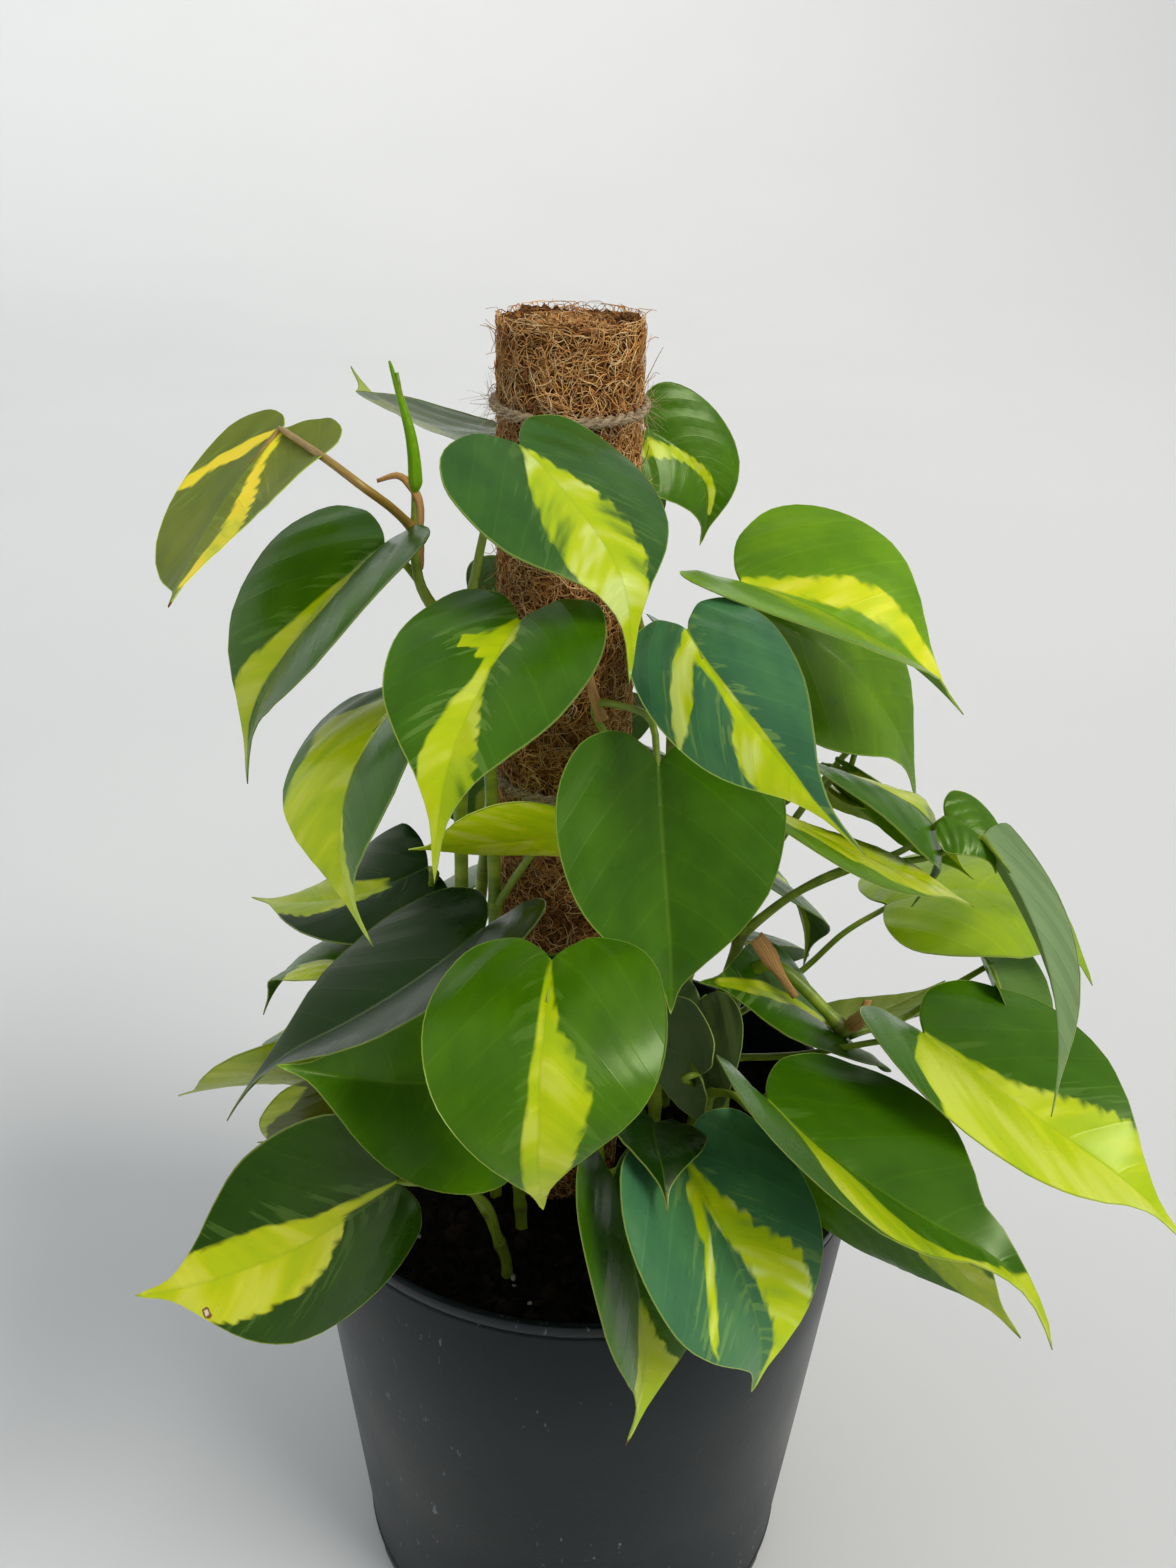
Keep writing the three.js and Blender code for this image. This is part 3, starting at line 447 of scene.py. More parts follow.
VINES = (
    Vine("vine_left_high", (-44, -4), 2.2, 0.5, ((-42, -10, 240), (-40, -19, 330), (-42, -25, 385),
        (-50, -24, 401), (-51, -20, 430), (-55, -18, 458)), (
        Blade(0.58, (-52, -58, 379), (-60, -98, 326), (-54, 28), 58, "dark", (
            (0, -10, 30), (10, -12, 85), (20, -15, 80), (30, 0, 78), (50, 0, 86), (60, -10, 78),
            (70, -20, 58), (80, -22, 38), (90, -10, 18), (100, 0, 0),
        ), fold=16, arch=14, sway=-3, twist=4, curl=5, lobes=0.8, drip=0.05, lift=1.2, jag=0.12),
        Blade(0.78, (-60, -22, 411), (-102, -48, 349), (-59, 35), 70, "dark", (
            (0, -4, 0), (10, -12, -2), (20, -26, 2), (30, -25, 8), (40, -15, 12), (50, -2, 20), (60, 2, 32),
            (70, 4, 35), (80, 4, 28), (90, 0, 10), (100, 0, 0),
        ), fold=22, arch=9, sway=-3, curl=5, lobes=0.6, drip=0.05, ghost=0.5),
        Blade(0.86, (-90, -5, 438), (-109, -65, 405), (129, -42), 61, "olive", (
            (0, 0, 6), (20, 4, 20), (40, 15, 45), (60, 18, 62), (80, 8, 50), (90, 0, 10),
        ), more_lime=(
            (0, -20, 0), (5, -45, -10), (12, -75, -35), (20, -95, -65), (27, -110, -85),
        ), fold=9, arch=0, sway=-7, twist=20, curl=2, lobes=0.85, via=((-55.9, -31, 424),
            (-62.5, -40, 432.6), (-71.7, -34, 437.3), (-82, -18.5, 438.3)), dry=0.5, pale=0.08, warm=0.8,
            gold=0.75, lift=1.6),
    ), spike=((-51, -21.5, 424), (-50.5, -21.5, 430), (-51.5, -20, 441), (-54.5, -18, 452),
        (-57, -17.5, 461))),
    Vine("vine_centre_high", (-30, -18), 2.1, 1.4, ((-30, -17, 230), (-30, -17, 320), (-33, -22, 380),
        (-35, -27, 398)), (
        Blade(0.55, (-4, -44, 330), (-55, -31, 317), (3, -39), 42, "lime", WHOLE, fold=2, arch=0, twist=-6,
            lift=1.8),
        Blade(0.85, (-19, -70, 407), (-39, -129, 373), (-18, 53), 53, "dark", (
            (0, -2, 4), (10, -10, 20), (16, -5, 38), (21, -2, 50), (26, 0, 18), (30, 0, 10), (40, -6, 12),
            (50, -12, 22), (60, -20, 27), (70, -30, 27), (80, -30, 22), (86, -10, 15), (100, 0, 0),
        ), fold=16, arch=5, twist=-7, curl=16, drip=0.05, ghost=0.7, jag=0.22),
        Blade(1, (-20, -46, 446), (15, -88, 408), (39, 50), 59, "green_with_painted_sky", (
            (0, 0, 2), (10, -10, 12), (20, -20, 30), (30, -27, 40), (40, -40, 47), (50, -42, 50),
            (60, -38, 48), (70, -30, 40), (80, -20, 25), (90, -6, 6), (100, 0, 0),
        ), fold=5, arch=3, sway=-2, twist=3, curl=16, drip=0.05, cream=0.7, jag=0.25),
    )),
    Vine("vine_right_high", (26, -12), 2.2, 1.5, ((25, -16, 250), (25, -27, 340), (25, -31, 362),
        (30, -28, 382)), (
        Blade(0.76, (19, -56, 360), (26, -87, 297), (18, 25), 66, "dark", fold=27, arch=1, sway=1, twist=2,
            curl=6, via=((6.4, -27, 352.1), (0.4, -26, 364.2), (8.7, -36, 368.8), (16.9, -50, 370.4))),
        Blade(0.88, (25, -55, 400), (66, -109, 365), (-16, 31), 40, "sky", (
            (0, 0, 5), (10, 0, 15), (20, -2, 10), (30, -4, 8), (40, -6, 10), (50, -8, 35), (60, -7, 50),
            (70, -5, 48), (80, 0, 33), (90, 0, 12), (100, 0, 0),
        ), more_lime=(
            (2, 2, 10), (10, 10, 35), (20, 20, 60), (30, 42, 85), (37, 75, 95),
        ), fold=2, arch=10, sway=2, twist=39, curl=11, drip=0.04, ghost=1, cream=0.5, lift=1.3),
        Blade(0.96, (43, -12, 399), (111, -21, 362), (49, 63), 68, "bright", (
            (0, -5, 2), (10, -15, 0), (20, -25, -2), (30, -38, -5), (40, -42, -10), (50, -42, -12),
            (60, -35, -10), (70, -25, -5), (80, -18, -4), (90, -12, -4), (100, 0, 0),
        ), fold=31, arch=12, sway=8, twist=-16, lobes=0.9, drip=0.05, via=((36, -22, 388), (42, -16, 394)),
            lift=1.35, gold=0.2, jag=0.1),
        Blade(1, (50.6, 6, 382.4), (107.3, 0, 323.5), (44, 38), 66, "bright", fold=6, arch=10, sway=-3,
            curl=3, drip=0.05),
    )),
    Vine("vine_right_mid", (40, -4), 2.1, 1.3, ((42, -10, 230), (50, -20, 285), (50, -18, 320)), (
        Blade(0.5, (103, 10, 277), (178, 6, 251), (91, 68), 71, "sunny", fold=3, arch=16, sway=-5, twist=32,
            curl=3, lobes=0.5, via=((75.3, 9, 249), (89.4, 9, 265.9)), ghost=0.6, pale=0.05, lift=1.15),
        Blade(0.78, (119.3, -34, 327.8), (137.5, -84, 263.3), (120, -20), 14, "sky", fold=48, arch=0,
            sway=11, twist=20, curl=2, lobes=0.15, via=((66.2, -20, 298.3), (81.3, -24, 310.2),
            (103.2, -30, 317.8)), pale=0.8),
        Blade(0.77, (107.8, -30, 332.5), (122.6, -40, 318.5), (30, 40), 22, "mid", fold=4, arch=2, sway=-3,
            lobes=0.6, via=((66.9, -14.5, 294.5), (83, -18.5, 306.5), (98, -25, 318))),
        Blade(0.86, (84, 6, 329), (129, 4, 290), (-50, -8), 24, "bright", (
            (0, -80, -10), (30, -90, -20), (60, -50, -10), (100, 0, 0),
        ), fold=19, arch=0, sway=-2, twist=-31, curl=1),
        Blade(0.94, (55, -40, 337), (116, -47, 313), (107, 49), 47, "bright", (
            (0, -80, 50), (30, -90, 60), (60, -80, 60), (100, -10, 10),
        ), fold=6, arch=0, sway=5, twist=18, curl=2),
        Blade(0.98, (75, 19, 321), (102, 30, 296), (132, 46), 30, "lime", fold=2, arch=0, sway=1, twist=-37),
        Blade(1, (76, -16, 340), (111, -21, 301), (83, 34), 40, "dark", (
            (0, -30, 10), (20, -60, 5), (40, -90, -5), (70, -60, -10), (100, 0, 0),
        ), fold=2, arch=14, sway=9, twist=20, curl=10),
    )),
    Vine("vine_right_low", (48, -24), 2.4, 1.9, ((48, -22, 220), (50, -24, 262), (59, -32, 279),
        (84, -42, 260)), (
        Blade(0.5, (106, -49, 266), (182, -94, 231), (58, 58), 75, "dark", (
            (0, -2, 10), (10, -5, 70), (20, -10, 88), (30, -15, 120), (40, -25, 120), (50, -35, 120),
            (60, -42, 120), (70, -45, 100), (80, -40, 80), (90, -25, 40), (100, 0, 0),
        ), fold=25, sway=9, twist=17, curl=7, drip=0.05, via=((69, -45, 254), (90, -55, 267)), ghost=0.4,
            lift=1.15, jag=0.08, pale=0.05),
        Blade(0.97, (86, -30, 247), (35, -43, 279), (2, 89), 56, "dark", (
            (0, -10, 10), (30, -10, 10), (60, -15, 12), (90, -5, 5),
        ), fold=17, arch=5, sway=3, twist=-47, ghost=1),
        Blade(0.98, (85, -20, 244), (128, 13, 243), (51, -64), 48, "lime", WHOLE, fold=2, arch=2, sway=5,
            twist=2, curl=1),
        Blade(1, (135, -8, 265), (175, 6, 202), (-108, -24), 66, "mid", (
            (20, -100, -90), (40, -100, -50), (60, -100, -20), (80, -80, -5), (100, 0, 0),
        ), fold=2, arch=0, sway=-8, twist=42, via=((101, -35, 261), (117, -20, 261))),
    )),
    Vine("vine_right_front", (34, -42), 2, 1.4, ((36, -46, 205), (39, -52, 235), (40, -60, 250)), (
        Blade(0.7, (68, -65, 226), (130, -111, 203), (-35, -16), 69, "mid", (
            (55, 0, 30), (70, -30, 30), (85, -30, 25), (100, 0, 0),
        ), fold=4, arch=0, sway=-12, twist=1, cream=0.6),
        Blade(0.86, (35, -73, 267), (8, -43, 254), (133, -11), 36, "dusty", fold=12, arch=5, sway=-3,
            twist=5, curl=3, ghost=0.8),
        Blade(0.9, (36, -43, 272), (43, -31, 228), (-45, -19), 40, "dusty", arch=11, sway=-2, twist=10,
            curl=4, ghost=0.8),
        Blade(1, (54, -84, 266), (145, -131, 239), (84, 64), 72, "dark", (
            (0, -2, 5), (10, 0, 30), (20, 10, 50), (30, 15, 75), (40, 30, 80), (50, 40, 72), (60, 30, 62),
            (70, 5, 40), (80, -10, 25), (90, -10, 15), (100, 0, 0),
        ), fold=30, arch=0, sway=12, twist=42, lobes=0.8, drip=0.2, trail=(-13, 2, -21)),
    )),
    Vine("vine_front", (8, -34), 2.1, 1.5, ((4, -36, 225), (-2, -42, 285)), (
        Blade(0.9, (4, -44, 281), (-25, -45, 281.5), (0, -30), 33, "deep", fold=12, arch=2, sway=5, twist=10,
            curl=2),
        Blade(1, (-9, -99, 323), (-10, -131, 263), (-1, 30), 63, "mid", (
            (0, 0, 2), (10, -5, 5), (20, -12, 6), (30, -30, 7), (40, -42, 10), (50, -45, 10), (60, -38, 12),
            (70, -32, 15), (80, -24, 15), (90, -12, 10), (100, 0, 0),
        ), fold=2, arch=20, sway=1, twist=-17, curl=10),
    )),
    Vine("vine_front_low", (12, -52), 1.9, 1.4, ((12, -56, 195), (10, -62, 218)), (
        Blade(0.8, (21, -88, 261), (25, -122, 263), (58, 69), 30, "deep", fold=19, arch=3, sway=3, twist=-1,
            curl=5),
        Blade(0.9, (10, -88, 239), (21, -128, 174), (63, 21), 69, "dark", (
            (45, -5, 5), (60, -15, 20), (70, -35, 35), (75, -40, 35), (80, -30, 33), (90, -12, 12),
            (100, 0, 0),
        ), fold=23, arch=5, sway=2, twist=3, curl=7, drip=0.05, dry=0.6),
        Blade(1, (30, -96, 254), (57, -124, 192), (46, 32), 69, "sky", (
            (0, -3, 3), (10, -10, 5), (20, -20, 8), (30, -30, 2), (40, -50, -5), (50, -60, -8),
            (60, -60, -10), (70, -52, -12), (80, -40, -10), (90, -20, -2), (100, 0, 0),
        ), more_lime=(
            (8, 2, 22), (20, 10, 28), (30, 20, 33), (40, 27, 42), (50, 37, 50), (60, 46, 58), (68, 50, 52),
        ), fold=16, arch=8, sway=2, twist=21, curl=9, ghost=0.8, cream=1, lift=1.25),
    )),
    Vine("vine_left_low", (-20, -36), 2, 1.4, ((-24, -36, 225), (-26, -38, 270)), (
        Blade(0.8, (-32, -58, 253), (-86, -93, 282), (35, 31), 64, "mid", fold=30, arch=9, sway=-3, twist=-4,
            lift=1.25),
        Blade(1, (-31, -48, 300), (-113, -81, 265), (-96, 67), 68, "deep", fold=21, arch=0, sway=-12,
            twist=-2, curl=3, drip=0.11, trail=(6, 3, -13)),
    )),
    Vine("vine_left_back", (-56, 10), 2, 1.3, ((-58, 6, 215), (-56, 0, 262), (-50, -8, 295)), (
        Blade(0.5, (-72, -22, 224), (-140, -17, 209), (-1, -38), 62, "lime", WHOLE, fold=2, arch=0, sway=8,
            twist=-30),
        Blade(0.78, (-75, -28, 273), (-108, -21, 250), (47, 111), 36, "dark", (
            (0, -100, 0), (10, -100, -5), (25, -100, 0), (35, -100, -30),
        ), fold=16, sway=3, twist=-1, curl=3),
        Blade(1, (-53, 0, 293), (-114, 6, 276), (-58, 65), 50, "deep", (
            (20, -10, 10), (40, -20, 30), (60, -45, 60), (80, -40, 40), (100, -10, 10),
        ), fold=8, arch=0, sway=-8, twist=50, lobes=0.3),
    )),
    Vine("vine_left_bottom", (-24, -56), 1.9, 1.4, ((-26, -56, 182), (-30, -55, 194)), (
        Blade(0.7, (-54, -92, 239), (-123, -125, 226), (35, 9), 70, "shade", (
            (0, 0, 5), (6, 2, 13), (20, 5, 18), (25, -10, 18), (30, -25, 20), (40, -40, 25), (50, -42, 30),
            (60, -42, 30), (70, -40, 28), (80, -30, 25), (90, -15, 12), (100, 0, 0),
        ), fold=2, arch=4, sway=-4, twist=50, lobes=0.35, via=((-30, -62, 205), (-42, -80, 228)), scar=True,
            gold=0.15, jag=0.1),
        Blade(1, (-72, -45, 236), (-111, -29, 197), (9, -32), 50, "olive", (
            (0, 70, 110), (50, 70, 110), (80, 30, 60),
        ), fold=12, arch=2, sway=-3, twist=-1, curl=2),
    )),
    Vine("vine_back_left", (-42, 30), 2.2, 1.2, ((-40, 26, 240), (-32, 22, 320), (-28, 20, 380)), (
        hanging(0.3, -138, 62, 254, 66, 48, 60, "dark", WIDE, fold=16, arch=8, yaw=6, curl=5),
        hanging(0.55, -160, 58, 302, 68, 58, 60, "mid", NARROW, fold=14, arch=9, yaw=-4, curl=6),
        hanging(0.8, -128, 50, 348, 62, 56, 56, "dark", LEFT, fold=18, arch=8, yaw=6, curl=4),
        Blade(1, (-31, 28, 431), (-84, 74, 437), (-47, -63), 56, "pale", (
            (35, -40, 90), (60, -50, 60), (80, -30, 35), (100, 0, 0),
        ), fold=7, arch=5, twist=6, curl=4, pale=0.4, lift=0.75),
    )),
    Vine("vine_back", (-12, 46), 2.2, 1.2, ((-10, 40, 240), (-8, 32, 330), (-6, 28, 405)), (
        hanging(0.2, 172, 78, 236, 68, 46, 62, "dark", LEFT, fold=14, arch=8, yaw=-6, curl=6),
        hanging(0.5, 178, 64, 326, 70, 62, 62, "mid", WIDE, fold=12, arch=9, yaw=5, curl=6),
        hanging(0.8, -172, 48, 380, 64, 62, 56, "dark", NARROW, fold=18, arch=8, yaw=-4, curl=5),
        hanging(1, 170, 42, 412, 54, 58, 46, "mid", RIGHT, fold=16, arch=6, yaw=4, curl=4),
    )),
    Vine("vine_back_right", (32, 34), 2.2, 1.2, ((30, 30, 235), (28, 26, 300), (26, 24, 350)), (
        hanging(0.2, 134, 78, 238, 66, 46, 60, "dark", RIGHT, fold=16, arch=8, yaw=6, curl=6),
        hanging(0.55, 114, 66, 284, 60, 54, 54, "mid", NARROW, fold=14, arch=8, yaw=-4, curl=5),
        hanging(0.8, 142, 60, 312, 66, 58, 58, "dark", WIDE, fold=15, arch=9, yaw=4, curl=6),
        hanging(1, 130, 52, 360, 60, 58, 54, "mid", LEFT, fold=18, arch=7, yaw=-5, curl=4),
        Blade(1, (15.3, 30, 432.6), (34, 26, 397.6), (24, 30), 36, "mid", (
            (2, 10, 50), (10, 10, 50), (20, 0, 35), (30, -5, 20), (40, -12, 8), (50, -20, -2), (60, -22, -6),
            (80, -6, 0),
        ), fold=14, arch=4, sway=-7, curl=2, via=((17, 28, 364), (11, 30, 395), (11, 31.5, 422))),
    )),
    Vine("vine_back_low", (-32, 58), 2, 1.3, ((-36, 62, 195), (-40, 66, 212)), (
        hanging(0.7, -158, 84, 200, 60, 32, 56, "mid", NARROW, fold=16, arch=9, yaw=4, curl=8),
        hanging(1, -114, 80, 208, 60, 38, 54, "dark", RIGHT, fold=16, arch=9, yaw=-4, curl=8),
    )),
)

# Dried sheaths: vine, the line that each follows, its width and how far it wraps round
SHEATHS = (
    ("vine_left_high", ((-51, -22, 404), (-50, -22, 414), (-50, -21, 424), (-55, -22, 431), (-61, -24, 430)),
     3.8, 2.6),
    ("vine_left_high", ((-44, -26, 388), (-50, -29, 384), (-57, -33, 380)), 3.6, 2.2),
    ("vine_right_high", ((3, -28, 361), (1, -28, 368), (-1, -28, 377)), 4.5, 2.6),
    ("vine_right_low", ((84, -41, 262), (87, -43, 268), (88, -42, 274)), 6, 3.2),
    ("vine_right_low", ((52, -37, 292), (60, -41, 283), (66, -44, 276)), 7, 2.2),
    ("vine_front", ((-1, -44, 268), (-3, -46, 276), (-6, -49, 283)), 5, 2.8),
)


def outline_rows(rows):
    """The outline read at even steps of a smooth curve through its given points."""
    last = len(OUTLINE) - 1
    padded = smooth_knots(OUTLINE)
    places = np.clip(np.linspace(0, last, rows + 1), 0, last - 1e-6)
    i = places.astype(int)
    t = (places - i)[:, None]
    p, q, r, s = (padded[i + k] for k in range(4))
    return 0.5 * (2 * q + (r - p) * t + (2 * p - 5 * q + 4 * r - s) * t**2 + (3 * q - p - 3 * r + s) * t**3)


def blade_places(blade):
    """Places on the blade (share, reach, width left to the margin), the faces between them and the margin."""
    outline = outline_rows(BLADE_ROWS)
    shares = blade.share_along(outline[:, 0])[:, None]
    edges = outline[:, 1:].copy()
    edges[0] = edges[-1] = 0
    inner = np.clip(shares - LOBE_SWEEP * edges, 0, 1)
    inner[-1] = 1
    across = np.array(ACROSS)
    share = inner + (shares - inner) * across
    margin = edges * (1 - across) * blade.half
    places = np.stack([np.stack([share, sign * edges * across, margin], -1) for sign in (-1, 1)])
    _, first, index = np.unique(
        np.round(places[..., :2].reshape(-1, 2), 5), axis=0, return_index=True, return_inverse=True)
    tables = index.reshape(places.shape[:3])
    faces = []
    for table, step in zip(tables, (-1, 1)):
        for low, high in zip(table, table[1:]):
            for face in zip(low, high, high[1:], low[1:]):
                face = [corner for n, corner in enumerate(face) if corner != face[n - 1]]
                if len(set(face)) > 2:
                    faces.append(tuple(face[::step]))
    right, left = (list(table[:, -1]) for table in tables)
    return places.reshape(-1, 3)[first], faces, left + right[-2:0:-1]


def add_blade(piece, blade, seed):
    """A blade as a thin closed sheet: its upper face is skin 0, its underside and margin are skin 1."""
    places, faces, loop = blade_places(blade)
    share, reach, margin = places.T
    surface, out = blade.point(share, reach)
    draw = random.Random(seed)
    phase = draw.uniform(0, 6.28)
    away = np.abs(reach)
    fading = np.clip(1.1 - share, 0, 1)
    to_tip = np.clip(1 - share, 0, 1)
    wave = np.sin(share * draw.uniform(7, 10) + phase + np.sign(reach) * draw.uniform(0.4, 1.4))
    vein = share - VEIN_SLANT * away**VEIN_CURVE
    quilt = QUILT_HEIGHT * np.cos(TURN * QUILTS * vein) * 4 * away * np.clip(1 - away, 0, 1)
    ripple = (MARGIN_WAVE * wave * away**2.5 + quilt) * fading
    groove = MIDRIB_GROOVE * bell(away * blade.half, MIDRIB_GROOVE_WIDTH) * to_tip
    ridge = MIDRIB_RIDGE * bell(away * blade.half, MIDRIB_RIDGE_WIDTH) * to_tip**0.7
    thin = 0.5 * BLADE_THICKNESS * (0.55 + 0.45 * np.clip(margin / 2, 0, 1))
    upper = surface + out * (ripple + thin - groove)[:, None]
    lower = surface + out * (ripple - thin - ridge)[:, None]
    both = sheet_faces(faces, loop, len(places))
    skins = np.arange(len(both)) >= len(faces)
    piece.add(
        np.vstack([upper, lower]), both, skins.astype(int),
        leaf_place=np.tile(np.stack([share, reach, vein], -1), (2, 1)),
        leaf_edge=np.tile(margin, 2),
        leaf_lime=np.tile(blade.lime_depth(share, reach), 2),
        leaf_dry=np.tile(blade.dry_depth(share, reach), 2),
        leaf_green=GREENS[blade.green],
        leaf_kind=(seed * 3.7, blade.ghost, blade.cream),
        leaf_finish=(blade.jag, blade.pale, blade.lift),
        leaf_gold=blade.gold,
    )


def add_spike(piece, line, seed):
    """A new leaf still rolled up: a spike that swells above its node and ends in a needle."""
    share = np.linspace(0, 1, len(line))
    radii = 0.35 + 1.9 * smooth_step(share, 0, 0.14) * (1 - share) ** 0.75
    corners, faces = tube(line, radii, SPIKE_SIDES, (0.3, -1, 0))
    turns = np.concatenate([np.tile(np.linspace(-1, 1, SPIKE_SIDES, endpoint=False), len(line)), [0, 0]])
    run = bar_marks(share, SPIKE_SIDES, (0, 1))
    piece.add(
        corners, faces,
        leaf_place=np.stack([run, turns, run * 2 + turns * 0.1], -1),
        leaf_edge=3,
        leaf_lime=0.45 - np.abs(turns - 0.25 + 0.5 * run),
        leaf_dry=-1,
        leaf_green=np.array(GREENS["bright"]) * 1.5,
        leaf_kind=(seed, 0.3, 0.2),
        leaf_finish=(0.4, 0.2, 1),
        leaf_gold=0,
    )


def add_stem(piece, vine):
    """The stem, with a swollen node where each stalk leaves it. Gives back its centre line."""
    foot = [(*vine.foot, SOIL_TOP - STEM_DEPTH), (*vine.foot, SOIL_TOP + 6)]
    line = run_through([*foot, *vine.stem], STEM_ROWS)
    share = np.linspace(0, 1, STEM_ROWS)
    radii = vine.radius + (vine.tip_radius - vine.radius) * np.clip((share - 0.7) / 0.3, 0, 1)
    length = length_of(line)
    away = [(share - node) * length for node in (*(blade.at for blade in vine.leaves), *STEM_SCARS)]
    for distance in away:
        radii = radii * (1 + NODE_SWELLING * bell(distance, NODE_LENGTH))
    ring = bell(np.min(np.abs(away), axis=0), SCAR_LENGTH)
    corners, faces = tube(line, radii, STALK_SIDES)
    run = bar_marks(share * length, STALK_SIDES, (0, length))
    marks = np.stack([run, bar_marks(ring, STALK_SIDES), np.full(len(corners), 0.25)], -1)
    piece.add(corners, faces, 2, stalk_place=marks)
    return line


def stalk_line(blade, stem):
    """The run of a stalk from inside the stem to under the start of the midrib."""
    start = place_on(stem, blade.at)
    along, _, out = blade.directions(np.zeros(()))
    joint = blade.base
    reach = float(np.linalg.norm(joint - start))
    outward = joint - out * (0.16 * reach) - along * (0.05 * reach)
    turn = (start + outward) / 2 + np.array((0, 0, 0.08 * reach))
    line = run_through([start, *(blade.via or (turn, outward)), joint - out], max(10, int(reach / 2)))
    rib = [joint + along * step - out * drop for step, drop in ((3, 0.95), (8, 0.9), (14, 0.85))
           if step < 0.3 * blade.length]
    return line, rib, out


def add_stalk(piece, blade, stem):
    line, rib, out = stalk_line(blade, stem)
    points = np.vstack([line, *rib])
    share = np.linspace(0, 1, len(points))
    radii = STALK_RADIUS - STALK_TAPER * share + 0.5 * bell(share, 0.05)
    radii[-len(rib):] = np.linspace(0.85, 0.25, len(rib))

    def channelled(turns):
        return 1 - STALK_CHANNEL * bell(np.angle(np.exp(1j * turns)), 0.45)

    corners, faces = tube(points, radii, STALK_SIDES, out, channelled)
    length = length_of(points)
    top = np.concatenate([np.tile(np.cos(even_turns(STALK_SIDES)), len(points)), [0, 0]])
    run = bar_marks(share * length, STALK_SIDES, (0, length))
    marks = np.stack([run, -np.clip(top, 0, 1), np.full(len(corners), blade.warm)], -1)
    piece.add(corners, faces, 2, stalk_place=marks)


def add_sheath(piece, line, width, wrap, seed):
    """A dried papery sheath: a strip along a line, rolled to part of a tube, thin and uneven."""
    draw = random.Random(seed)
    rows, columns = SHEATH_ROWS, SHEATH_COLUMNS
    points = run_through(line, rows)
    share = np.linspace(0, 1, rows)
    along = unit(np.gradient(points, axis=0))
    side = np.array((0.2, -1, 0.1))
    turns = np.linspace(-0.5, 0.5, columns)
    corners = []
    for level in (0, -SHEATH_THICKNESS):
        for point, direction, s in zip(points, along, share):
            side = unit(side - direction * (side @ direction))
            up = np.cross(direction, side)
            crumple = 1 + 0.14 * math.sin(9 * s + seed) + draw.uniform(-0.05, 0.05)
            radius = (width * (1 - 0.45 * s) * crumple) / 2 + level
            angle = turns * wrap * (1 - 0.35 * s) + 0.5 * math.sin(3 * s + seed)
            corners.append(point + (np.outer(np.cos(angle), side) + np.outer(np.sin(angle), up)) * radius)
    table = np.arange(rows * columns).reshape(rows, columns)
    faces = [face for low, high in zip(table, table[1:]) for face in zip(low, low[1:], high[1:], high)]
    loop = [*table[0], *table[1:, -1], *table[-1, -2::-1], *table[-2:0:-1, 0]]
    marks = np.stack([np.repeat(share, columns), np.tile(turns, rows), np.full(table.size, seed)], -1)
    piece.add(np.vstack(corners), sheet_faces(faces, loop, table.size), 3, stalk_place=np.tile(marks, (2, 1)))


def make_vines(materials):
    seed = 0
    for vine in VINES:
        piece = Piece(vine.name + "_leafy")
        stem = add_stem(piece, vine)
        for blade in vine.leaves:
            seed += 1
            add_stalk(piece, blade, stem)
            add_blade(piece, blade, seed)
        if vine.spike:
            add_spike(piece, run_through(vine.spike, SPIKE_ROWS), seed)
        for n, (name, line, width, wrap) in enumerate(SHEATHS, start=1):
            if name == vine.name:
                add_sheath(piece, line, width, wrap, n)
        piece.make(materials, vine.name)


def wall_radius(height):
    return POT_FOOT_RADIUS + (POT_RIM_RADIUS - POT_FOOT_RADIUS) * height / POT_HEIGHT


def make_pot(material):
    def outside(height, depth=0):
        return wall_radius(height) - depth, height

    def inside(height, depth=0):
        return outside(height, depth + POT_WALL)

    groove = POT_HEIGHT - POT_RIM_GROOVE
    shelf = POT_HEIGHT - POT_SHELF_DEPTH
    profile = (
        (0, 0), (POT_FOOT_RADIUS - 1, 0), (POT_FOOT_RADIUS - 0.3, 0.25), (POT_FOOT_RADIUS, 1),
        outside(6.8), outside(7.4, 0.35), outside(8, POT_GROOVE_DEPTH), outside(70, 0.3), outside(130, 0.15),
        outside(groove - 1.2), outside(groove - 0.7, 0.15), outside(groove - 0.25, POT_GROOVE_DEPTH),
        outside(groove + 0.25, POT_GROOVE_DEPTH), outside(groove + 0.7, 0.15), outside(groove + 1.2),
        outside(POT_HEIGHT - 1), outside(POT_HEIGHT - 0.35, 0.2), outside(POT_HEIGHT, 0.8),
        inside(POT_HEIGHT), inside(POT_HEIGHT - 0.3, 0.35), inside(POT_HEIGHT - 1, 0.55),
        inside(shelf, 1), inside(shelf - 1), inside(100), inside(POT_FLOOR), (0, POT_FLOOR),
    )
    made = add_object("pot_shell", new_mesh("pot_shell", *lathe(profile, POT_SIDES), [material]))
    cut_slots(made)
    seat(made, "pot")


def lathe(profile, sides):
    """Corners and faces of a profile of (radius, height) turned round the axis."""
    corners = []
    faces = []
    rings = []
    for radius, height in profile:
        angles = even_turns(sides if radius else 1)
        ring = [len(corners)] * sides if len(angles) == 1 else range(len(corners), len(corners) + sides)
        rings.append([*ring, ring[0]])
        corners += round_axis(radius, angles, height).tolist()
    for low, high in zip(rings, rings[1:]):
        for face in zip(low, low[1:], high[1:], high):
            faces.append(tuple(corner for n, corner in enumerate(face) if corner != face[n - 1]))
    return corners, faces


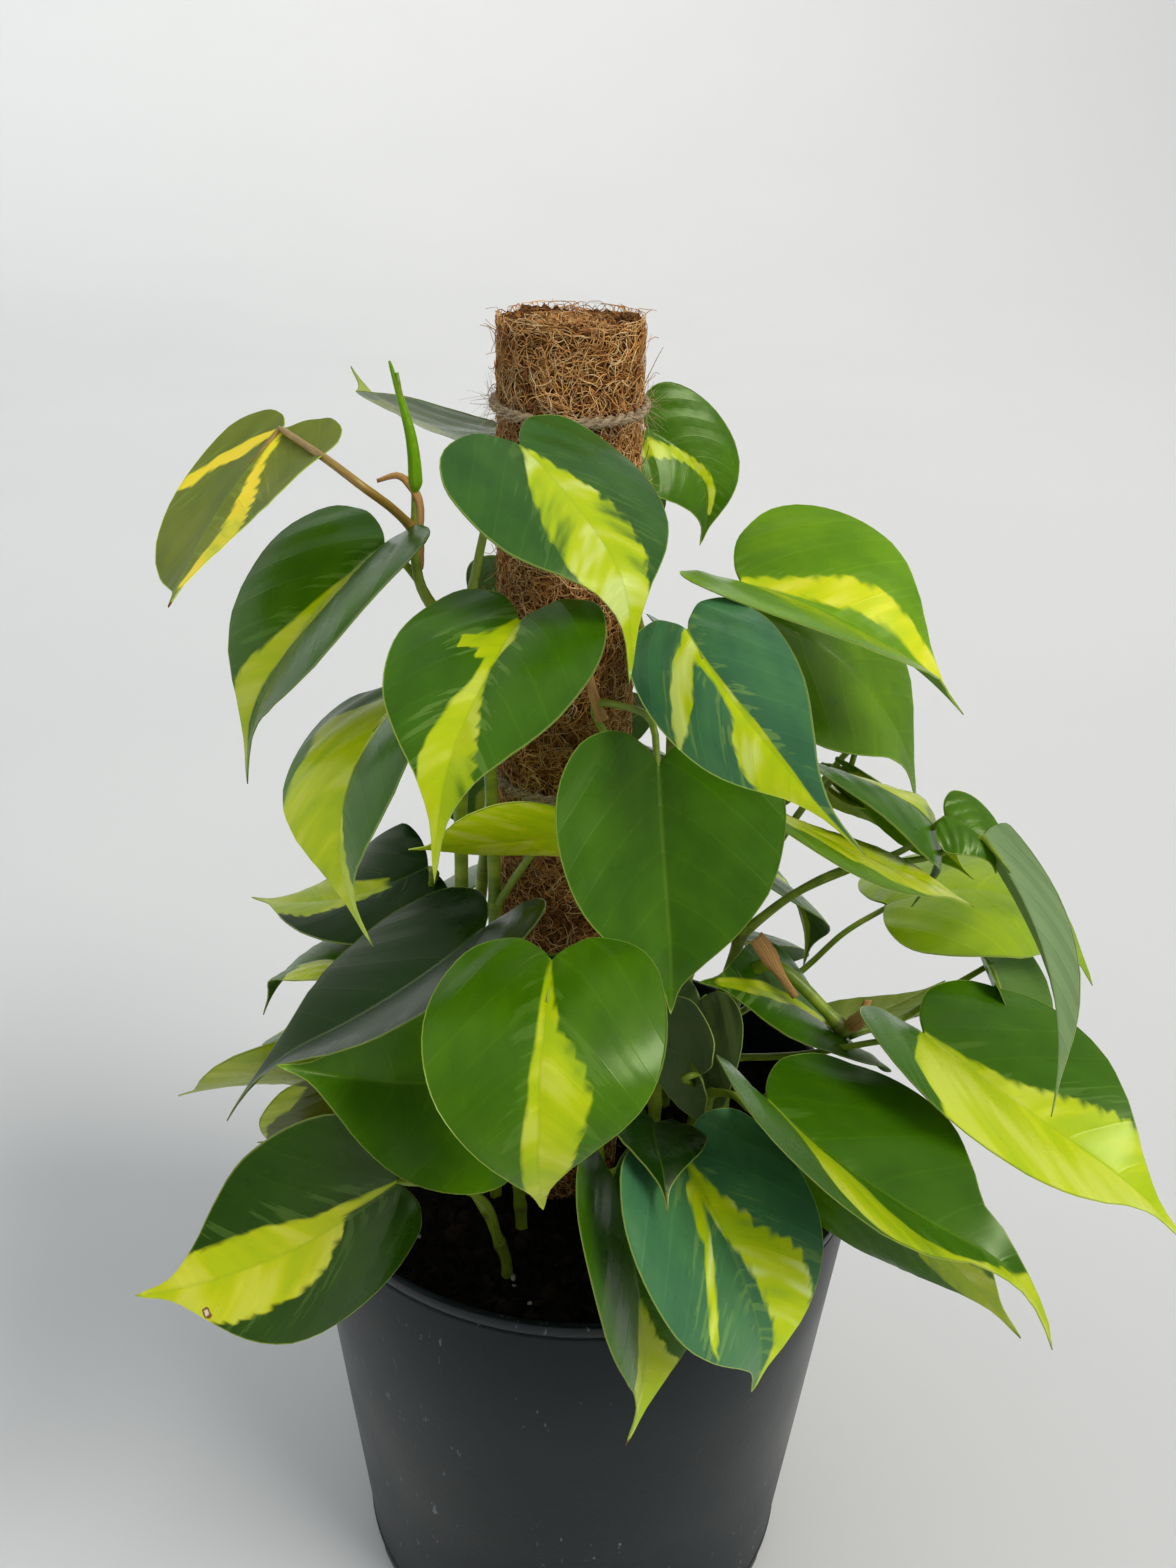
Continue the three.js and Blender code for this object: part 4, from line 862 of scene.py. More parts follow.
def cut_slots(made):
    """Cuts the drainage slots out of the pot's foot."""
    corners = []
    faces = []
    box = np.array([(x, y, z) for x in (-8, 8) for y in (-0.5, 0.5) for z in (-3, DRAIN_HEIGHT)], float)
    box[:, 1] *= DRAIN_WIDTH
    sides = ((0, 1, 3, 2), (4, 6, 7, 5), (0, 4, 5, 1), (2, 3, 7, 6), (0, 2, 6, 4), (1, 5, 7, 3))
    for i in range(DRAIN_COUNT):
        angle = TURN * (i + 0.5) / DRAIN_COUNT
        cosine, sine = math.cos(angle), math.sin(angle)
        turn = np.array(((cosine, -sine, 0), (sine, cosine, 0), (0, 0, 1)))
        faces += [tuple(c + len(corners) for c in side) for side in sides]
        corners += ((box + (POT_FOOT_RADIUS, 0, 0)) @ turn.T).tolist()
    cutter = add_object("slots", new_mesh("slots", corners, faces))
    change = made.modifiers.new("slots", "BOOLEAN")
    change.operation = "DIFFERENCE"
    change.solver = "EXACT"
    change.object = cutter
    bpy.context.view_layer.update()
    made.data = bpy.data.meshes.new_from_object(made.evaluated_get(bpy.context.evaluated_depsgraph_get()))
    made.modifiers.clear()
    bpy.data.objects.remove(cutter)
    made.data.polygons.foreach_set("use_smooth", [True] * len(made.data.polygons))
    made.data.set_sharp_from_angle(angle=math.radians(35))


def make_soil(material, chip_material):
    draw = random.Random(5)
    waves = [[draw.uniform(low, high) for low, high in ((0.15, 0.5), (-0.3, 0.3), (-0.3, 0.3), (0, 6))]
             for _ in range(SOIL_WAVES)]

    def soil_height(x, y):
        return SOIL_TOP + 0.8 + sum(a * np.sin(fx * x + fy * y + p) for a, fx, fy, p in waves)

    rim = wall_radius(SOIL_TOP) - POT_WALL - SOIL_GAP - 0.4
    foot = POT_FLOOR + SOIL_GAP
    turns = even_turns(SOIL_SIDES)
    rings = []
    for i in range(1, SOIL_RINGS + 1):
        ring = round_axis(rim * i / SOIL_RINGS, turns, 0)
        rough = [draw.uniform(-SOIL_ROUGHNESS, SOIL_ROUGHNESS) for _ in turns]
        ring[:, 2] = soil_height(ring[:, 0], ring[:, 1]) + rough
        rings.append(ring)
    rings.append(round_axis(wall_radius(foot) - 3, turns, foot + 3))
    rings.append(round_axis(wall_radius(foot) - 12, turns, foot))
    piece = Piece("soil_bed")
    faces = [face[:1] + face[:0:-1] for face in bar_faces(len(rings), SOIL_SIDES)]
    piece.add(np.vstack([*rings, (0, 0, soil_height(0, 0)), (0, 0, foot)]), faces)
    piece.make([material], "soil")
    chips = Piece("soil_chips")
    for _ in range(CHIP_COUNT):
        radius = (rim - 3) * math.sqrt(draw.random())
        angle = draw.uniform(0, TURN)
        x, y = radius * math.cos(angle), radius * math.sin(angle)
        if math.hypot(x - POLE_X, y) < POLE_RADIUS + 4:
            continue
        pale = draw.random() < PALE_CHIP_SHARE
        size = draw.uniform(*PALE_CHIP_SIZES) if pale else draw.choice(CHIP_SIZES)
        add_chip(chips, (x, y, soil_height(x, y)), size, 1.0 if pale else draw.uniform(0, 0.5), draw)
    chips.make([chip_material], "soil")


# A ball of twenty faces
CHIP_CORNERS = unit(np.array([
    (0, 1, 1.6), (0, 1, -1.6), (0, -1, 1.6), (0, -1, -1.6), (1, 1.6, 0), (1, -1.6, 0),
    (-1, 1.6, 0), (-1, -1.6, 0), (1.6, 0, 1), (-1.6, 0, 1), (1.6, 0, -1), (-1.6, 0, -1),
]))
CHIP_FACES = (
    (0, 2, 8), (0, 8, 4), (0, 4, 6), (0, 6, 9), (0, 9, 2), (2, 9, 7), (2, 7, 5), (2, 5, 8), (8, 5, 10),
    (8, 10, 4), (4, 10, 1), (4, 1, 6), (6, 1, 11), (6, 11, 9), (9, 11, 7), (3, 5, 7), (3, 10, 5), (3, 1, 10),
    (3, 11, 1), (3, 7, 11),
)


def add_chip(piece, place, size, tone, draw):
    stretch = np.array((draw.uniform(1, 2.2), draw.uniform(0.6, 1.1), draw.uniform(0.35, 0.8)))
    corners = CHIP_CORNERS * stretch * size
    corners = corners * np.array([[draw.uniform(0.75, 1.25)] for _ in corners])
    turn = Matrix.Rotation(draw.uniform(0, 6.28), 3, "Z") @ Matrix.Rotation(draw.uniform(-0.5, 0.5), 3, "X")
    piece.add(corners @ np.array(turn).T + np.array(place), CHIP_FACES, chip_tone=tone)


# Fibres of the mat: part, from and to height, how many, and their seed
FIBRE_SPANS = (
    ("top", 398, POLE_TOP - 1, 4500, 21), ("upper", 300, 402, 5000, 22), ("lower", SOIL_TOP, 304, 3400, 23),
)


def mat_radius(angle):
    return POLE_RADIUS + POLE_LAP * (np.mod(angle - LAP_ANGLE, TURN) / TURN) ** 4


def make_mat(material, fibre_material):
    """The coir mat: a lapped tube with a torn, filled top, under thousands of loose curled fibres."""
    draw = random.Random(11)
    angles = LAP_ANGLE + even_turns(MAT_SIDES)
    outer = mat_radius(angles)
    top = POLE_TOP - 1.5

    def roughness(low, high):
        return np.array([draw.uniform(low, high) for _ in angles])

    tears = 0.9 * np.sin(angles * 3 + 1) + 0.6 * np.sin(angles * 7) + roughness(-0.6, 0.6)
    rings = []
    for height in np.linspace(POLE_FOOT, top, MAT_ROWS):
        radius = outer + roughness(-0.35, 0.25) - 0.5
        torn = height + smooth_step(height, POLE_TOP - 12, top) * (tears - 0.6)
        rings.append(round_axis(radius, angles, torn, POLE_X))
    steps = ((-1.2, 0.4), (-3.6, 0.7), (-5.2, -0.3), (-6, -2.6), (-7.2, -2.8), (-8.4, -1), (-12, -0.8),
             (-13.4, -3), (-16, -3.4))
    for inward, rise in steps:
        rough = roughness(-0.5, 0.5)
        rings.append(round_axis(outer + inward + rough, angles, top + tears * 0.8 + rise + rough, POLE_X))
    piece = Piece("coir_mat")
    ends = (POLE_X, 0, POLE_FOOT), (POLE_X, 0, top - 3.4)
    piece.add(np.vstack([*rings, *ends]), bar_faces(len(rings), MAT_SIDES))
    piece.make([material], "coir_sleeve")
    for part, low, high, count, seed in FIBRE_SPANS:
        fibres = Piece("coir_fibres_" + part)
        add_wall_fibres(fibres, low, high, count, seed)
        if part == "top":
            add_top_fibres(fibres, TOP_FIBRES, seed + 5)
        fibres.make([fibre_material], "coir_sleeve")


def add_fibres(piece, lines, thickness, taper, tones):
    """Many thin three-sided hairs at once. lines is hairs by points by 3."""
    hairs, steps, _ = lines.shape
    radii = thickness[:, None] * np.linspace(1, taper, steps)
    along = unit(np.gradient(lines, axis=1))
    hub = lines - (POLE_X, 0, 0)
    hub[..., 2] = 0.01
    side = unit(np.cross(along, unit(hub) + 0.001))
    up = np.cross(along, side)
    rings = [lines + (side * math.cos(angle) + up * math.sin(angle)) * radii[..., None]
             for angle in even_turns(3)]
    first = (np.arange(hairs) * steps * 3)[:, None, None]
    a = first + (np.arange(steps - 1) * 3)[None, :, None] + np.array([0, 1, 2])
    b = a + np.array([1, 1, -2])
    quads = np.stack([a, b, b + 3, a + 3], -1).reshape(-1, 4)
    start = first.ravel()
    end = start + (steps - 1) * 3
    caps = [(s, s + 2, s + 1) for s in start] + [(e, e + 1, e + 2) for e in end]
    piece.add(np.stack(rings, 2), quads.tolist() + caps, fibre_tone=np.repeat(tones, steps * 3))


def add_wall_fibres(piece, low, high, count, seed):
    """Curled hairs that lie on the mat, with a few that stray from it."""
    rng = np.random.default_rng(seed)
    angle = rng.uniform(0, TURN, count)
    height = rng.uniform(low, high, count)
    heading = rng.uniform(0, TURN, count)
    bend = rng.normal(0, 0.55, count)
    length = rng.uniform(*FIBRE_LENGTHS, count)
    lift = rng.uniform(0.1, 1.2, count)
    stray = rng.random(count) < STRAY_SHARE
    across = np.zeros((count, FIBRE_STEPS))
    rise = np.zeros((count, FIBRE_STEPS))
    for i in range(1, FIBRE_STEPS):
        heading = heading + bend + rng.normal(0, 0.3, count)
        across[:, i] = across[:, i - 1] + np.cos(heading) * length / (FIBRE_STEPS - 1)
        rise[:, i] = rise[:, i - 1] + np.sin(heading) * length / (FIBRE_STEPS - 1)
    share = np.linspace(0, 1, FIBRE_STEPS)
    turn = angle[:, None] + across / POLE_RADIUS
    away = lift[:, None] * np.sin(math.pi * share) - 0.25
    away = away + stray[:, None] * share**2 * rng.uniform(1.5, 6, count)[:, None]
    z = np.clip(height[:, None] + rise, SOIL_TOP, POLE_TOP + 0.5)
    lines = round_axis(mat_radius(turn) + away, turn, z, POLE_X)
    add_fibres(piece, lines, rng.uniform(*FIBRE_RADII, count), 0.6, rng.random(count))


def add_top_fibres(piece, count, seed):
    """Hairs across the pole's top, lower in the gap between the rolled layers."""
    rng = np.random.default_rng(seed)
    angle = rng.uniform(0, TURN, count)
    inward = rng.uniform(0, 18, count)
    share = np.linspace(0, 1, FIBRE_STEPS)
    turn = angle[:, None] + rng.normal(0, 0.5, count)[:, None] * share
    radius = mat_radius(angle)[:, None] - inward[:, None] + rng.normal(0, 2.2, (count, 1)) * share
    base = np.where((inward > 5) & (inward < 8), POLE_TOP - 4, POLE_TOP - 1.8)[:, None]
    z = base + rng.uniform(0.1, 1.6, (count, 1)) * np.sin(math.pi * share)
    z = z + rng.normal(0, 0.1, (count, FIBRE_STEPS))
    lines = round_axis(np.minimum(radius, mat_radius(turn) + 0.4), turn, z, POLE_X)
    add_fibres(piece, lines, rng.uniform(*TOP_FIBRE_RADII, count), 0.6, rng.random(count))


def make_tie(name, height, slant, seed, material, fuzz_material):
    """A jute tie of two strands twisted together, drawn tight round the mat, with its loose hairs."""
    piece = Piece(name + "_twine")
    turn = even_turns(TWINE_STEPS)
    core = round_axis(mat_radius(turn) + 1.2, turn, height + slant * np.sin(turn + 0.4 * seed), POLE_X)
    out = round_axis(1, turn, 0)
    for strand in (0, math.pi):
        twist = (turn * TWINE_TWISTS + strand)[:, None]
        add_loop(piece, core + STRAND_OFFSET * (out * np.cos(twist) + np.array((0, 0, 1)) * np.sin(twist)))
    piece.make([material], name)
    add_fuzz(name, core, out, seed, fuzz_material)


def add_fuzz(name, core, out, seed, material):
    """Loose hairs of a tie, none of which reaches into the mat."""
    rng = np.random.default_rng(seed)
    start = rng.integers(0, len(core), TIE_HAIRS)
    length = rng.uniform(*TIE_HAIR_LENGTHS, TIE_HAIRS)[:, None, None]
    heading = unit(rng.normal(0, 1, (TIE_HAIRS, 3)) * (1, 1, 0.8) + out[start] * 0.5)[:, None]
    side = unit(rng.normal(0, 1, (TIE_HAIRS, 3)))[:, None]
    share = np.linspace(0, 1, TIE_HAIR_STEPS)[:, None]
    lines = core[start][:, None] + length * (heading * share + side * share**2 * 0.5) - (POLE_X, 0, 0)
    away = np.linalg.norm(lines[..., :2], axis=-1, keepdims=True)
    lines[..., :2] *= np.maximum(1, (POLE_RADIUS + POLE_LAP + 0.4) / away)
    fuzz = Piece(name + "_fuzz")
    radii = np.full(TIE_HAIRS, TIE_HAIR_RADIUS)
    add_fibres(fuzz, lines + (POLE_X, 0, 0), radii, 0.5, rng.random(TIE_HAIRS))
    fuzz.make([material], name)


def add_loop(piece, line):
    """A closed ring of round section along a closed line."""
    along = unit(np.roll(line, -1, axis=0) - np.roll(line, 1, axis=0))
    side = unit(np.cross(along, (0, 0, 1.0)))[:, None]
    up = np.cross(side, along[:, None])
    turns = even_turns(TWINE_SIDES)[:, None]
    rings = line[:, None] + STRAND_RADIUS * (side * np.cos(turns) + up * np.sin(turns))
    table = np.arange(len(line) * TWINE_SIDES).reshape(-1, TWINE_SIDES)
    after, beside = np.roll(table, -1, axis=0), np.roll(table, -1, axis=1)
    faces = np.stack([table, after, np.roll(after, -1, axis=1), beside], -1).reshape(-1, 4)
    piece.add(rings, faces.tolist())


class Wire:
    """What a node gives out, to be worked with as a number is."""

    def __init__(self, shader, socket):
        self.shader = shader
        self.socket = socket

    def work(self, operation, *others):
        return self.shader.node("Math", dict(enumerate((self, *others))), operation=operation)

    def __add__(self, other):
        return self.work("ADD", other)

    def __sub__(self, other):
        return self.work("SUBTRACT", other)

    def __mul__(self, other):
        return self.work("MULTIPLY", other)

    def fade(self, low, high, start=0.0, end=1.0):
        """Goes smoothly from start to end as the value goes from low to high."""
        ends = {"Value": self, "From Min": low, "From Max": high, "To Min": start, "To Max": end}
        return self.shader.node("MapRange", ends, "Result", interpolation_type="SMOOTHSTEP")


class Shader:
    """The nodes of a material or of the world, made a step at a time."""

    def __init__(self, owner, surface="Principled BSDF"):
        owner.use_nodes = True
        self.owner = owner
        self.nodes = owner.node_tree.nodes
        self.surface = self.nodes[surface]

    def put(self, socket, value):
        if isinstance(value, Wire):
            self.owner.node_tree.links.new(value.socket, socket)
        elif socket.type == "RGBA":
            socket.default_value = (*value, 1)
        else:
            socket.default_value = value

    def node(self, kind, inputs, output=0, **settings):
        made = self.nodes.new("ShaderNode" + kind)
        for name, value in settings.items():
            setattr(made, name, value)
        for name, value in inputs.items():
            self.put(made.inputs[name], value)
        return Wire(self, made.outputs[output])

    def finish(self, **inputs):
        """Sets the inputs of the surface, and gives back the material or the world."""
        for name, value in inputs.items():
            self.put(self.surface.inputs[name.replace("_", " ")], value)
        return self.owner

    def mark(self, name, part="Fac"):
        return self.node("Attribute", {}, part, attribute_name=name)

    def marks(self, name):
        return self.parts(self.mark(name, "Vector"))

    def place(self, kind="Object"):
        return self.node("TexCoord", {}, kind)

    def parts(self, vector):
        first = self.node("SeparateXYZ", {0: vector})
        return [Wire(self, socket) for socket in first.socket.node.outputs]

    def join(self, x, y, z):
        return self.node("CombineXYZ", {0: x, 1: y, 2: z})

    def noise(self, vector, scale, detail=3, rough=0.55, warp=0.0):
        inputs = {"Vector": vector, "Scale": scale, "Detail": detail, "Roughness": rough, "Distortion": warp}
        return self.node("TexNoise", inputs, "Fac")

    def mix(self, share, a, b, blend="MIX"):
        return self.node("Mix", {0: share, 6: a, 7: b}, 2, data_type="RGBA", blend_type=blend)

    def tint(self, a, b):
        return self.mix(1.0, a, b, "MULTIPLY")

    def bump(self, height, strength, distance):
        return self.node("Bump", {"Height": height, "Strength": strength, "Distance": distance}, "Normal")


def new_shader(name):
    return Shader(bpy.data.materials.new(name))


def leaf_green(shader, share, reach, seed, ripples, fine, base):
    """The green of a blade, clouded, with paler side veins and fine streaks."""
    cloud = shader.noise(shader.join(share * 3, reach * 2, seed), 1)
    darker = shader.tint(base, (0.78, 0.84, 0.9))
    lighter = shader.tint(base, (1.25, 1.18, 1.05))
    green = shader.mix(cloud.fade(0.3, 0.7), darker, lighter)
    green = shader.mix(ripples.fade(0.015, 0.06, 0.15, 0.0), green, shader.tint(green, (1.9, 1.7, 1.4)))
    return shader.mix(fine.fade(0.35, 0.75, 0.0, 0.18), green, shader.tint(green, (1.5, 1.35, 1.2)))


def leaf_lime(shader, broad, fine, ragged, cream, gold):
    """The lime of a blade, with cream clouds, green flecks and gold."""
    lime = shader.mix(broad.fade(0.35, 0.65), (0.40, 0.54, 0.002), (0.58, 0.64, 0.004))
    lime = shader.mix(broad.fade(0.5, 0.66) * cream, lime, (0.66, 0.78, 0.30))
    fleck = (fine * -1 + ragged).fade(-0.36, -0.42)
    lime = shader.mix(fleck * 0.12, lime, (0.24, 0.38, 0.004))
    return shader.mix(gold * broad.fade(0.3, 0.6, 0.55, 1.0), lime, (0.72, 0.46, 0.012))


def leaf_colours(shader, underside):
    """The colour of a blade, its side veins from 0 to 0.5, and noise drawn out along them."""
    share, reach, vein = shader.marks("leaf_place")
    kind, ghost, cream = shader.marks("leaf_kind")
    jag, pale, lift = shader.marks("leaf_finish")
    seed = kind + reach.work("SIGN") * 3.1
    away = reach.work("ABSOLUTE")
    fine = shader.noise(shader.join(vein * 24, away * 2.2, seed), 1)
    broad = shader.noise(shader.join(vein * 6, away * 1.2, seed), 1, 2)
    free = away.fade(0.02, 0.2, 0.1, 1.0) * jag
    ragged = ((fine - 0.5) * 0.1 + (broad - 0.5) * 0.45) * free + shader.mark("leaf_lime")
    ripples = (vein * 5.5 + broad * 0.25).work("PINGPONG", 0.5)
    green = leaf_green(shader, share, reach, kind, ripples, fine, shader.mark("leaf_green", "Color"))
    soft = ragged + fine.fade(0.48, 0.62, -0.3, 0.12)
    green = shader.mix(soft.fade(-0.14, -0.02) * ghost, green, shader.mix(0.45, green, (0.20, 0.34, 0.07)))
    lime = leaf_lime(shader, broad, fine, ragged, cream, shader.mark("leaf_gold"))
    colour = shader.mix(ragged.fade(-0.012, 0.018), green, lime)
    colour = shader.mix(away.fade(0.008, 0.022, 1.0, 0.0) * 0.16, colour, (0.20, 0.34, 0.01))
    colour = shader.mix(shader.mark("leaf_edge").fade(0.15, 0.4, 0.5, 0.0), colour, (0.40, 0.50, 0.08))
    if underside:
        colour = shader.mix(pale, colour, (0.30, 0.42, 0.19))
    # lift scales the whole leaf's colour: partly its own tone, partly painted light that brightens leaves
    # lying in shade
    colour = shader.tint(colour, shader.join(lift, lift, lift))
    dry = (fine - 0.5) * 0.5 + shader.mark("leaf_dry")
    brown = shader.mix(dry.fade(0.2, 0.45), (0.20, 0.075, 0.02), (0.70, 0.60, 0.46))
    return shader.mix(dry.fade(-0.02, 0.1), colour, brown), ripples, fine


def leaf_material(name, underside):
    shader = new_shader(name)
    colour, veins, fine = leaf_colours(shader, underside)
    grain = shader.noise(shader.place(), 900, 2)
    height = grain * 0.06 + (fine * 0.35 + (veins.fade(0.0, 0.05) * 0.25 + veins * 1.1))
    rough = shader.noise(shader.place(), 60)
    return shader.finish(
        Base_Color=colour,
        Roughness=rough.fade(0.3, 0.7, 0.5, 0.62) if underside else rough.fade(0.3, 0.7, 0.24, 0.36),
        Specular_IOR_Level=0.1 if underside else 0.32,
        Specular_Tint=(0.85, 1.0, 0.6),
        Normal=shader.bump(height, 0.25 if underside else 0.12, 0.0012),
    )


def stalk_material():
    shader = new_shader("stalk_green")
    run, ring, warm = shader.marks("stalk_place")
    lines = shader.noise(shader.join(run * 0.15, ring * 6, warm), 1)
    green = shader.mix(lines.fade(0.35, 0.65), (0.17, 0.27, 0.012), (0.30, 0.40, 0.025))
    green = shader.mix(ring.fade(-0.98, -0.6, 1.0, 0.0) * 0.45, green, (0.32, 0.42, 0.06))
    rust = shader.mix(lines.fade(0.35, 0.65), (0.30, 0.15, 0.03), (0.42, 0.26, 0.05))
    colour = shader.mix(warm.fade(0.3, 0.9), green, rust)
    colour = shader.mix(ring.fade(0.35, 0.9) * 0.6, colour, (0.13, 0.085, 0.03))
    specks = shader.noise(shader.place(), 500, 2).fade(0.62, 0.72)
    colour = shader.mix(specks * 0.3, colour, (0.10, 0.09, 0.02))
    normal = shader.bump(lines + shader.noise(shader.place(), 700, 2), 0.15, 0.0006)
    return shader.finish(Base_Color=colour, Roughness=0.38, Normal=normal)


def sheath_material():
    shader = new_shader("sheath_dry")
    run, turn, seed = shader.marks("stalk_place")
    ribs = shader.noise(shader.join(run * 1.5, turn * 22, seed), 1, 4)
    colour = shader.mix(ribs.fade(0.3, 0.7), (0.42, 0.17, 0.035), (0.78, 0.46, 0.16))
    return shader.finish(Base_Color=colour, Roughness=0.7, Normal=shader.bump(ribs, 0.7, 0.0008))


def pot_material():
    shader = new_shader("pot_plastic")
    place = shader.place()
    x, y, z = shader.parts(place)
    cloud = shader.noise(place, 14, 4)
    colour = shader.mix(cloud.fade(0.35, 0.7), (0.0035, 0.0075, 0.0088), (0.0070, 0.0125, 0.0148))
    scuff = shader.noise(shader.join(x, y, z * 0.35), 380, 2, 0.6).fade(0.66, 0.72)
    scuff = scuff * shader.noise(place, 22, 2).fade(0.5, 0.66)
    grains = shader.node("TexVoronoi", {"Vector": place, "Scale": 170}, "Distance")
    dust = grains.fade(0.07, 0.03) * shader.noise(place, 31, 2).fade(0.55, 0.62)
    colour = shader.mix(scuff.work("MAXIMUM", dust) * 0.4, colour, (0.30, 0.33, 0.35))
    return shader.finish(
        Base_Color=colour,
        Roughness=cloud.fade(0.3, 0.7, 0.28, 0.38),
        Specular_IOR_Level=0.2,
        Normal=shader.bump(shader.noise(place, 420), 0.12, 0.0005),
    )


def soil_material(name, chips):
    shader = new_shader(name)
    lumps = shader.noise(shader.place(), 260, 5, 0.65)
    colour = shader.mix(lumps.fade(0.35, 0.7), (0.0015, 0.0014, 0.0013), (0.012, 0.009, 0.007))
    if chips:
        tone = shader.mark("chip_tone")
        colour = shader.mix(tone.fade(0.0, 0.6), colour, (0.022, 0.014, 0.009))
        colour = shader.mix(tone.fade(0.8, 0.95), colour, (0.38, 0.36, 0.32))
    normal = shader.bump(lumps, 0.9, 0.002)
    return shader.finish(Base_Color=colour, Roughness=0.85, Specular_IOR_Level=0.08, Normal=normal)


def coir_material():
    shader = new_shader("coir_mat")
    tangle_and_gap_shade = shader.noise(shader.place(), 420, 4, 0.7, 3.0)
    # painted shade: the dark between the tangles stands in for the shade in the gaps between fibres; the
    # orange is the coir's own colour
    colour = shader.mix(tangle_and_gap_shade.fade(0.38, 0.66), (0.020, 0.008, 0.003), (0.48, 0.20, 0.055))
    normal = shader.bump(tangle_and_gap_shade, 1.0, 0.002)
    return shader.finish(Base_Color=colour, Roughness=0.9, Specular_IOR_Level=0.1, Normal=normal)


def fibre_material(name, dark, mid, light):
    shader = new_shader(name)
    tone = shader.mark("fibre_tone")
    colour = shader.mix(tone.fade(0.0, 0.6), dark, mid)
    colour = shader.mix(tone.fade(0.6, 1.0), colour, light)
    patch = shader.noise(shader.place(), 60)
    colour = shader.mix(patch.fade(0.35, 0.65, 0.4, 0.0), colour, dark)
    return shader.finish(Base_Color=colour, Roughness=0.55, Specular_IOR_Level=0.2)


def grained_material(name, squeeze, noise, colours, roughness, bump):
    """Wood or twine: noise squeezed along the height, or drawn out, between two colours."""
    shader = new_shader(name)
    x, y, z = shader.parts(shader.place())
    grain = shader.noise(shader.join(x, y, z * squeeze), *noise)
    colour = shader.mix(grain.fade(0.35, 0.65), *colours)
    return shader.finish(Base_Color=colour, Roughness=roughness, Normal=shader.bump(grain, *bump))


def make_camera():
    data = bpy.data.cameras.new("camera")
    data.sensor_width = SENSOR_MM
    data.lens = FOCAL_PIXELS * SENSOR_MM / IMAGE_LONG_SIDE
    data.clip_start = 0.01
    data.clip_end = 100
    camera = add_object("camera", data)
    forward = Vector((0, math.cos(CAMERA_DOWN), -math.sin(CAMERA_DOWN)))
    level_up = Vector((0, math.sin(CAMERA_DOWN), math.cos(CAMERA_DOWN)))
    level_right = Vector((1, 0, 0))
    right = level_right * math.cos(CAMERA_ROLL) + level_up * math.sin(CAMERA_ROLL)
    up = level_up * math.cos(CAMERA_ROLL) - level_right * math.sin(CAMERA_ROLL)
    turn = Matrix((right, up, -forward)).transposed().to_4x4()
    camera.matrix_world = Matrix.Translation(Vector(CAMERA_PLACE) * MM) @ turn
    bpy.context.scene.camera = camera


def make_stage():
    """A pale floor that curves up into a wall all round, with painted light and shade: darker and cooler to
    the left, lighter and warmer to the right, and greyer far back.
    """
    profile = [(0, 0), (400, 0), (1200, 0), (FLOOR_REACH, 0)]
    for k in range(1, BEND_STEPS + 1):
        angle = math.pi / 2 * k / BEND_STEPS
        across, up = FLOOR_BEND * math.sin(angle), FLOOR_BEND * math.cos(angle)
        profile.append((FLOOR_REACH + across, FLOOR_BEND - up))
    profile.append((FLOOR_REACH + FLOOR_BEND, FLOOR_BEND + WALL_ABOVE_BEND))
    shader = new_shader("pale_floor")
    x, y, _ = shader.parts(shader.place())
    # painted light and shade: the floor runs from darker and cooler at the left to lighter and warmer at the
    # right, with a little noise
    painted_side_light = shader.noise(shader.place(), 2, 2) * 0.6 + x
    colour = shader.mix(painted_side_light.fade(-2.2, 1.6), (0.50, 0.53, 0.56), (0.84, 0.835, 0.825))
    # painted shade: greyer towards the far back, as light falls off with distance
    colour = shader.mix(y.fade(0.6, 4.5, 0.0, 0.5), colour, (0.66, 0.67, 0.68))
    material = shader.finish(Base_Color=colour, Roughness=0.75)
    add_object("floor", new_mesh("floor", *lathe(profile, FLOOR_SIDES), [material]))


